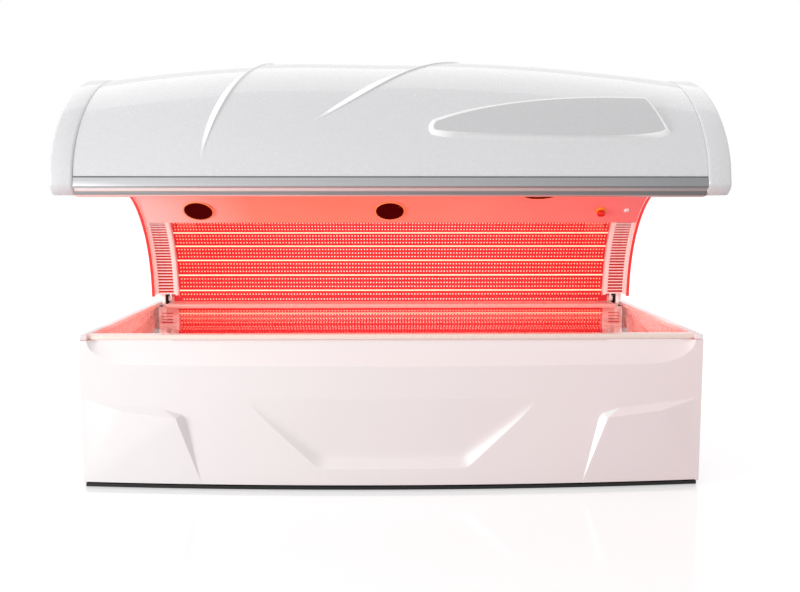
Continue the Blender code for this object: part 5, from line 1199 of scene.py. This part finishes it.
def pierced(spots, filled):
    """Points and faces of a sheet with empty cells. spots is columns by rows by two depths."""
    number = np.arange(spots[..., 0].size).reshape(spots.shape[:3])
    around = np.pad(filled, 1)
    faces = []
    for column, row in np.argwhere(filled):
        ring = [(column, row), (column + 1, row), (column + 1, row + 1), (column, row + 1)]
        faces += [[number[c, r, depth] for c, r in ring] for depth in (0, 1)]
        beyond = [(column + 1, row), (column + 2, row + 1), (column + 1, row + 2), (column, row + 1)]
        for side, cell in enumerate(beyond):
            if not around[cell]:
                first, second = ring[side], ring[(side + 1) % 4]
                wall = [(*first, 0), (*second, 0), (*second, 1), (*first, 1)]
                faces.append([number[corner] for corner in wall])
    return spots.reshape(-1, 3).tolist(), faces


vent_arc = np.radians((2.0, SECTIONS["rear"][1])) * VENT_RADIUS
vent_first = vent_arc.mean() - (VENT_PITCH * (VENT_SLOTS - 1) + VENT_SLOT) / 2
slot_feet = vent_first + VENT_PITCH * np.arange(VENT_SLOTS)
slot_edges = np.stack([slot_feet, slot_feet + VENT_SLOT], -1).ravel()
vent_rows = np.concatenate([vent_arc[:1], slot_edges, vent_arc[1:]])
vent_filled = np.ones((3, len(vent_rows) - 1), bool)
vent_filled[1, 1::2] = False
vent_angles = vent_rows / VENT_RADIUS
for side, word in SIDES:
    spots = np.zeros((4, len(vent_rows), 2, 3))
    spots[..., 0] = side * np.array(VENT_COLUMNS)[:, None, None]
    for depth, radius in enumerate((VENT_RADIUS, VENT_RADIUS + VENT_SHEET)):
        spots[:, :, depth, 1] = COVE_Y + radius * np.cos(vent_angles)
        spots[:, :, depth, 2] = COVE_Z + radius * np.sin(vent_angles)
    fold = cove_arc(COVE_RADIUS + 0.0005, 1.5, 43.0, 40) + cove_arc(VENT_RADIUS + 0.010, 43.0, 1.5, 40)
    form = joined(pierced(spots, vent_filled), extrusion(fold, side * FOLD_INNER, side * FOLD_OUTER))
    settle(solid("vent_plate_" + word, *form, vent_white), "canopy", "shell_white", "canopy_vent_" + word)

# %% [markdown]
# ## Linings behind the vents
# The vent plates have slots, and what shows through them is the red-lit space behind. A thin lining a few
# millimetres behind the plates stands for its lit walls: its red and its glow are painted light. Where the
# hinge arm passes, close behind the plate, the lining is a narrow strip in the plate's own depth. The same
# painted red light lines the bench's rear wall.

# %% Vent linings
LINING_SHEET = 0.0008
LINING_TOP = 43.0
LINING_SPANS = ((0.9145, 0.9500), (0.9600, 0.9970))
ARM_SPAN = (0.9490, 0.9610)
WALL_SPAN = (0.9200, 0.9780)
WALL_LINING = TRAY_REAR + 0.0010
WALL_LINING_LOW = 0.402
WALL_LINING_HIGH = 0.470


def lining_form(radius, start, side, span):
    """Points and faces of a thin sheet that follows the cove."""
    inner = cove_arc(radius, start, LINING_TOP, 40)
    outer = cove_arc(radius + LINING_SHEET, LINING_TOP, start, 40)
    return extrusion(inner + outer, side * span[0], side * span[1])


for side, word in SIDES:
    parts = [lining_form(COVE_RADIUS + 0.0125, 2.0, side, span) for span in LINING_SPANS]
    parts.append(lining_form(VENT_RADIUS + 0.0011, 2.5, side, ARM_SPAN))
    settle(solid("vent_lining_" + word, *joined(*parts), lining_red), "canopy", "trough_plate")
    wall = [(WALL_LINING, WALL_LINING_LOW), (WALL_LINING + LINING_SHEET, WALL_LINING_LOW),
            (WALL_LINING + LINING_SHEET, WALL_LINING_HIGH), (WALL_LINING, WALL_LINING_HIGH)]
    form = extrusion(wall, side * WALL_SPAN[0], side * WALL_SPAN[1])
    settle(solid("tray_lining_" + word, *form, lining_red), "base", "tray_metal")

# %% [markdown]
# ## Round guards
# The two fans and the speaker sit behind round guards of fine mesh in a turned rim. A mesh could be a
# picture with holes, but real holes catch the light from every side. A honeycomb is rows of points, every
# other row moved by half a step, cut to a circle, with a six-sided wire ring on each point.

# %% The honeycomb tree
HEX_ROW = 0.8660254
HEX_RADIUS = 0.5773
mesh_nodes, guard = geometry_tree(
    "honeycomb_disc", Reach="Float", Step="Float", Wire="Float", Count="Int", Place="Vector", Turn="Vector",
    Finish="Material")
guard_span = guard["Step"] * (guard["Count"] - 1)
guard_grid = grid_of(mesh_nodes, guard_span, guard_span * HEX_ROW, guard["Count"], guard["Count"])
guard_spot = mesh_nodes.add("GeometryNodeInputPosition")
guard_row = mesh_nodes.maths("ROUND", mesh_nodes.part(guard_spot, "Y") / (guard["Step"] * HEX_ROW))
guard_odd = mesh_nodes.maths("FLOORED_MODULO", guard_row, 2.0)
guard_shift = mesh_nodes.vector(guard_odd * guard["Step"] * 0.5)
guard_rows = mesh_nodes.add("GeometryNodeSetPosition", None, {"Geometry": guard_grid, "Offset": guard_shift})
guard_far = mesh_nodes.add("ShaderNodeVectorMath", {"operation": "LENGTH"}, {0: guard_spot}, "Value")
guard_out = mesh_nodes.maths("GREATER_THAN", guard_far, guard["Reach"])
guard_disc = mesh_nodes.add("GeometryNodeDeleteGeometry", {"domain": "POINT"}, {
    "Geometry": guard_rows, "Selection": guard_out}, "Geometry")
guard_ring = mesh_nodes.add("GeometryNodeCurvePrimitiveCircle", None, {
    "Resolution": 6, "Radius": guard["Step"] * HEX_RADIUS}, "Curve")
guard_wire = mesh_nodes.add("GeometryNodeCurvePrimitiveQuadrilateral", None, {
    "Width": guard["Wire"], "Height": guard["Wire"] * 1.6}, "Curve")
guard_cell = mesh_nodes.add("GeometryNodeCurveToMesh", None, {
    "Curve": guard_ring, "Profile Curve": guard_wire}, "Mesh")
guard_turned = moved_to(mesh_nodes, guard_cell, turn=(0.0, 0.0, math.pi / 6))
guard_cells = set_on(mesh_nodes, guard_disc, guard_turned)
close_tree(mesh_nodes, moved_to(mesh_nodes, guard_cells, guard["Place"], guard["Turn"]), guard["Finish"])
print("guard tree nodes:", len(mesh_nodes.tree.nodes))

# %% Turned rims and the guards in their places
STRIP_INNER = 0.468
NET_STEP = 0.0052


def seat(x, degrees, radius):
    """A frame on the cove whose Z points to the axis."""
    angle = math.radians(degrees)
    spot = Vector((x, COVE_Y + radius * math.cos(angle), COVE_Z + radius * math.sin(angle)))
    return Matrix.Translation(spot) @ Matrix.Rotation(angle + math.pi / 2, 4, "X")


def turned(profile, place, steps):
    """Points and faces of a radius and height profile spun round the frame's Z."""
    points, faces = [], []
    rings = []
    for radius, height in profile:
        count = steps if radius > 1e-6 else 1
        ring = []
        for step in range(count):
            angle = 2 * math.pi * step / steps
            spot = place @ Vector((radius * math.cos(angle), radius * math.sin(angle), height))
            ring.append(len(points))
            points.append(tuple(spot))
        rings.append(ring)
    pairs = list(zip(rings, rings[1:]))
    if profile[0][0] > 1e-6:
        pairs.append((rings[-1], rings[0]))
    for first, second in pairs:
        for step in range(steps):
            after = (step + 1) % steps
            corners = [first[step % len(first)], first[after % len(first)],
                       second[after % len(second)], second[step % len(second)]]
            faces.append(list(dict.fromkeys(corners)))
    return points, faces


def flat_seat(radius):
    """How far from the axis a flat round foot rests on the strip."""
    return math.sqrt(STRIP_INNER ** 2 - radius ** 2) - GAP


STRIP_ROW = 53.0
GUARDS = {"fan_grille_left": (-0.768, STRIP_ROW, 0.060), "fan_grille_centre": (-0.006, STRIP_ROW, 0.060),
          "speaker_grille": (0.572, 73.5, 0.080)}
for node, (x, degrees, radius) in GUARDS.items():
    place = seat(x, degrees, flat_seat(radius) - 0.0005)
    rim_line = [(radius - 0.0042, 0.0), (radius, 0.0), (radius, 0.0016), (radius - 0.0008, 0.0026),
                (radius - 0.0021, 0.0030), (radius - 0.0034, 0.0026), (radius - 0.0042, 0.0016)]
    rim = solid(node + "_rim", *turned(rim_line, place, 72), guard_rim)
    settle(rim, "canopy", "bezel_metal", node)
    middle = place @ Vector((0.0, 0.0, 0.0015))
    net = grow(node + "_net", mesh_nodes, Reach=radius - 0.0055, Step=NET_STEP, Wire=0.0013,
               Count=int(2 * radius / NET_STEP) + 4, Place=middle, Turn=place.to_euler(),
               Finish=guard_metal.material)
    settle(net, "canopy", "grille_metal", node)

# %% [markdown]
# ## Switches
# The emergency stop is a yellow collar with a red mushroom cap that is pressed in and twisted out. Beside it
# sits the start button in a bright bezel. They are turned parts, so each is a profile spun round its axis,
# with more points in its roundings than the solid has.

# %% Emergency stop and start button
STOP_X = 0.838
START_X = 0.942
COLLAR_RADIUS = 0.021
COLLAR_TOP = 0.0080
BEZEL_RADIUS = 0.011
STOP_TRAVEL = 0.004
stop_place = seat(STOP_X, STRIP_ROW, flat_seat(COLLAR_RADIUS))
collar_line = [(0.0083, -0.030), (0.010, -0.030), (0.010, 0.0), (COLLAR_RADIUS, 0.0),
               (COLLAR_RADIUS, 0.0040), (0.0203, 0.0058), (0.0185, 0.0072), (0.0165, 0.0078),
               (0.0120, COLLAR_TOP), (0.0083, COLLAR_TOP)]
collar = solid("stop_collar_turned", *turned(collar_line, stop_place, 64), stop_yellow)
settle(collar, "canopy", "stop_yellow", "stop_collar")
cap_back = COLLAR_TOP + STOP_TRAVEL + 2 * GAP
cap_round = [(0.0, 0.0), (0.0150, 0.0), (0.0163, 0.0010), (0.0165, 0.0030), (0.0164, 0.0060),
             (0.0158, 0.0086), (0.0142, 0.0112), (0.0115, 0.0130), (0.0075, 0.0143), (0.0035, 0.0149),
             (0.0, 0.0150)]
cap_line = [(radius, cap_back + height) for radius, height in cap_round]
grip_corners = [(-0.0124, -0.0015), (0.0124, -0.0015), (0.0124, 0.0015), (-0.0124, 0.0015)]
grip_levels = (cap_back + 0.0075, cap_back + 0.0160)
grip = stacked([[stop_place @ Vector((u, v, level)) for u, v in grip_corners] for level in grip_levels])
cap = solid("stop_cap_turned", *joined(turned(cap_line, stop_place, 64), grip), stop_red)
settle(cap, "stop_cap", "stop_red", "stop_cap")
start_place = seat(START_X, STRIP_ROW, flat_seat(BEZEL_RADIUS))
bezel_line = [(0.0073, -0.0225), (0.0085, -0.0225), (0.0085, 0.0), (BEZEL_RADIUS, 0.0),
              (BEZEL_RADIUS, 0.0016), (0.0106, 0.0025), (0.0098, 0.0030), (0.0082, 0.0030),
              (0.0076, 0.0026), (0.0073, 0.0018)]
bezel = solid("start_bezel_turned", *turned(bezel_line, start_place, 48), bezel_pale)
settle(bezel, "canopy", "bezel_metal", "start_bezel")
button_line = [(0.0, -0.012), (0.0070, -0.012), (0.0070, 0.0042), (0.0066, 0.0050), (0.0058, 0.0055),
               (0.0040, 0.0053), (0.0, 0.0050)]
button = solid("start_button_turned", *turned(button_line, start_place, 48), bezel_pale)
settle(button, "start_button", "button_grey", "start_button")
mark_line = [(0.0, 0.0045), (0.0030, 0.0045), (0.0030, 0.0056), (0.0026, 0.0059), (0.0, 0.0060)]
mark = solid("start_button_mark", *turned(mark_line, start_place, 32), button_grey)
settle(mark, "start_button", "button_grey")

# %% [markdown]
# ## Screws
# The rear skirt of the canopy is fixed by a row of small button-head screws. Screws repeat, so a tree sets
# one low round head at each point of a line, facing backwards.

# %% Skirt screws
screw_nodes, screw = geometry_tree("screw_row", Span="Float", Count="Int", Radius="Float", Height="Float",
                                   Place="Vector", Finish="Material")
screw_line = grid_of(screw_nodes, screw["Span"], 0.0, screw["Count"], 1)
screw_head = stud(screw_nodes, 14, screw["Radius"], 0.62, screw["Height"])
screw_heads = set_on(screw_nodes, screw_line, screw_head, (-math.pi / 2, 0.0, 0.0))
close_tree(screw_nodes, moved_to(screw_nodes, screw_heads, screw["Place"]), screw["Finish"])
screws = grow("skirt_screws", screw_nodes, Span=1.90, Count=11, Radius=0.0055, Height=0.0024,
              Place=(0.0, skirt_back - 0.0012, 0.985), Finish=bezel_metal.material)
settle(screws, "canopy", "bezel_metal")

# %% [markdown]
# ## Finishes for the solids that stay
# Trays, boards, frames, fans and springs have the right shape already. They keep their meshes, and only
# their material slots change.

# %% Dress the remaining solids
DRESS = {
    strip_pink: ["control_strip"],
    vent_white: ["hinge_bracket_left", "hinge_bracket_right"],
    light_board: ["canopy_led_board_front", "canopy_led_board_rear", "lower_led_board"],
    tray_white: ["canopy_led_tray_front", "canopy_led_tray_rear", "lower_led_tray"],
    frame_coat: ["canopy_frame", "chassis_frame"],
    steel_coat: ["equipment_floor", "control_box"],
    supply_coat: ["power_supply", "canopy_light_driver"],
    chrome: ["gas_spring_rod_left", "gas_spring_rod_right"],
    tube_black: ["gas_spring_tube_left", "gas_spring_tube_right"],
    black_grain: ["plinth_strip", "base_fan_duct", "base_fan_rotor", "mains_inlet", "stop_stem"],
    # Painted red lamp light tints these dark parts and the hinge arms.
    duct_dark: ["fan_duct_left", "fan_duct_centre", "fan_rotor_left", "fan_rotor_centre", "speaker_driver",
                "hinge_arm_left", "hinge_arm_right"],
    foot_rubber: ["foot_front_left", "foot_front_right", "foot_rear_left", "foot_rear_right"],
}
for finish, names in DRESS.items():
    for name in names:
        for slot in solids[name].material_slots:
            slot.material = finish.material
dressed = {name for names in DRESS.values() for name in names}
plain = [name for name in solids if name not in dressed and not solids[name].hide_render]
print("dressed solids:", len(dressed), "left plain:", plain)

# %% [markdown]
# ## Floor, light and background
# The bed stands on a white studio floor. The floor must be white to the camera and still take the shadow,
# so it glows a little for camera rays only. The world is white where the camera, a mirror or a clear sheet
# looks at it, and a softer grey where it lights the bed. A strong lamp at the front left shapes it, and a
# faint wide one hangs above and behind. A weak pink one inside the bed lights the cove as the small lamps
# would, and neither the camera nor a mirror sees it.

# %% Floor
FLOOR_GLOW = (0.36, 0.36, 0.36, 1.0)
floor_mesh = bpy.data.meshes.new("studio_floor")
floor_mesh.from_pydata([(-14, -9, 0), (14, -9, 0), (14, 22, 0), (-14, 22, 0)], [], [(0, 1, 2, 3)])
studio_floor = bpy.data.objects.new("studio_floor", floor_mesh)
scene.collection.objects.link(studio_floor)
floor_white = Finish("floor_white", Roughness=0.10)
floor_white.paint("Base Color", ink(222, 222, 222))
floor_rays = floor_white.add("ShaderNodeLightPath", out="Is Camera Ray")
floor_glow = floor_white.add("ShaderNodeEmission", None,
                             {"Color": FLOOR_GLOW, "Strength": floor_rays}, "Emission")
floor_sum = floor_white.add("ShaderNodeAddShader", None,
                            {0: Value(floor_white, floor_white.shader.outputs[0]), 1: floor_glow})
floor_white.feed(floor_white.tree.nodes["Material Output"].inputs["Surface"], floor_sum)
floor_mesh.materials.append(floor_white.material)
print("floor staged")

# %% World and lamps
SOFT_GREY = 0.77
world = bpy.data.worlds.new("studio_world")
world.use_nodes = True
scene.world = world
sky = Nodes(world.node_tree)
seen = sky.maths("MAXIMUM", sky.add("ShaderNodeLightPath", out="Is Camera Ray"),
                 sky.maths("MAXIMUM", sky.add("ShaderNodeLightPath", out="Is Glossy Ray"),
                           sky.add("ShaderNodeLightPath", out="Is Transmission Ray")))
backdrop = world.node_tree.nodes["Background"]
backdrop.inputs["Color"].default_value = (1.0, 1.0, 1.0, 1.0)
sky.feed(backdrop.inputs["Strength"], SOFT_GREY + seen * (1 - SOFT_GREY))


def soft_lamp(name, place, aim, width, height, power, colour=(1.0, 1.0, 1.0)):
    data = bpy.data.lights.new(name, "AREA")
    data.shape = "RECTANGLE"
    data.size = width
    data.size_y = height
    data.energy = power
    data.color = colour
    made = bpy.data.objects.new(name, data)
    made.location = place
    made.rotation_euler = (Vector(aim) - Vector(place)).to_track_quat("-Z", "Y").to_euler()
    scene.collection.objects.link(made)
    print("lamp", name, power, "W")
    return made


soft_lamp("left_lamp", (-6.0, -4.0, 0.6), (0.0, -0.4, 0.6), 2.4, 2.0, 295.0)
soft_lamp("top_lamp", (-0.5, 2.3, 4.0), (-0.5, 2.0, 0.0), 7.0, 3.0, 34.0)
inner_glow = soft_lamp("inner_glow", (0.0, -0.36, 0.70), (0.0, 0.40, 0.72), 1.96, 0.16, 4.6,
                       (1.0, 0.76, 0.72))
inner_glow.visible_camera = False
inner_glow.visible_glossy = False
scene.view_settings.view_transform = "Standard"
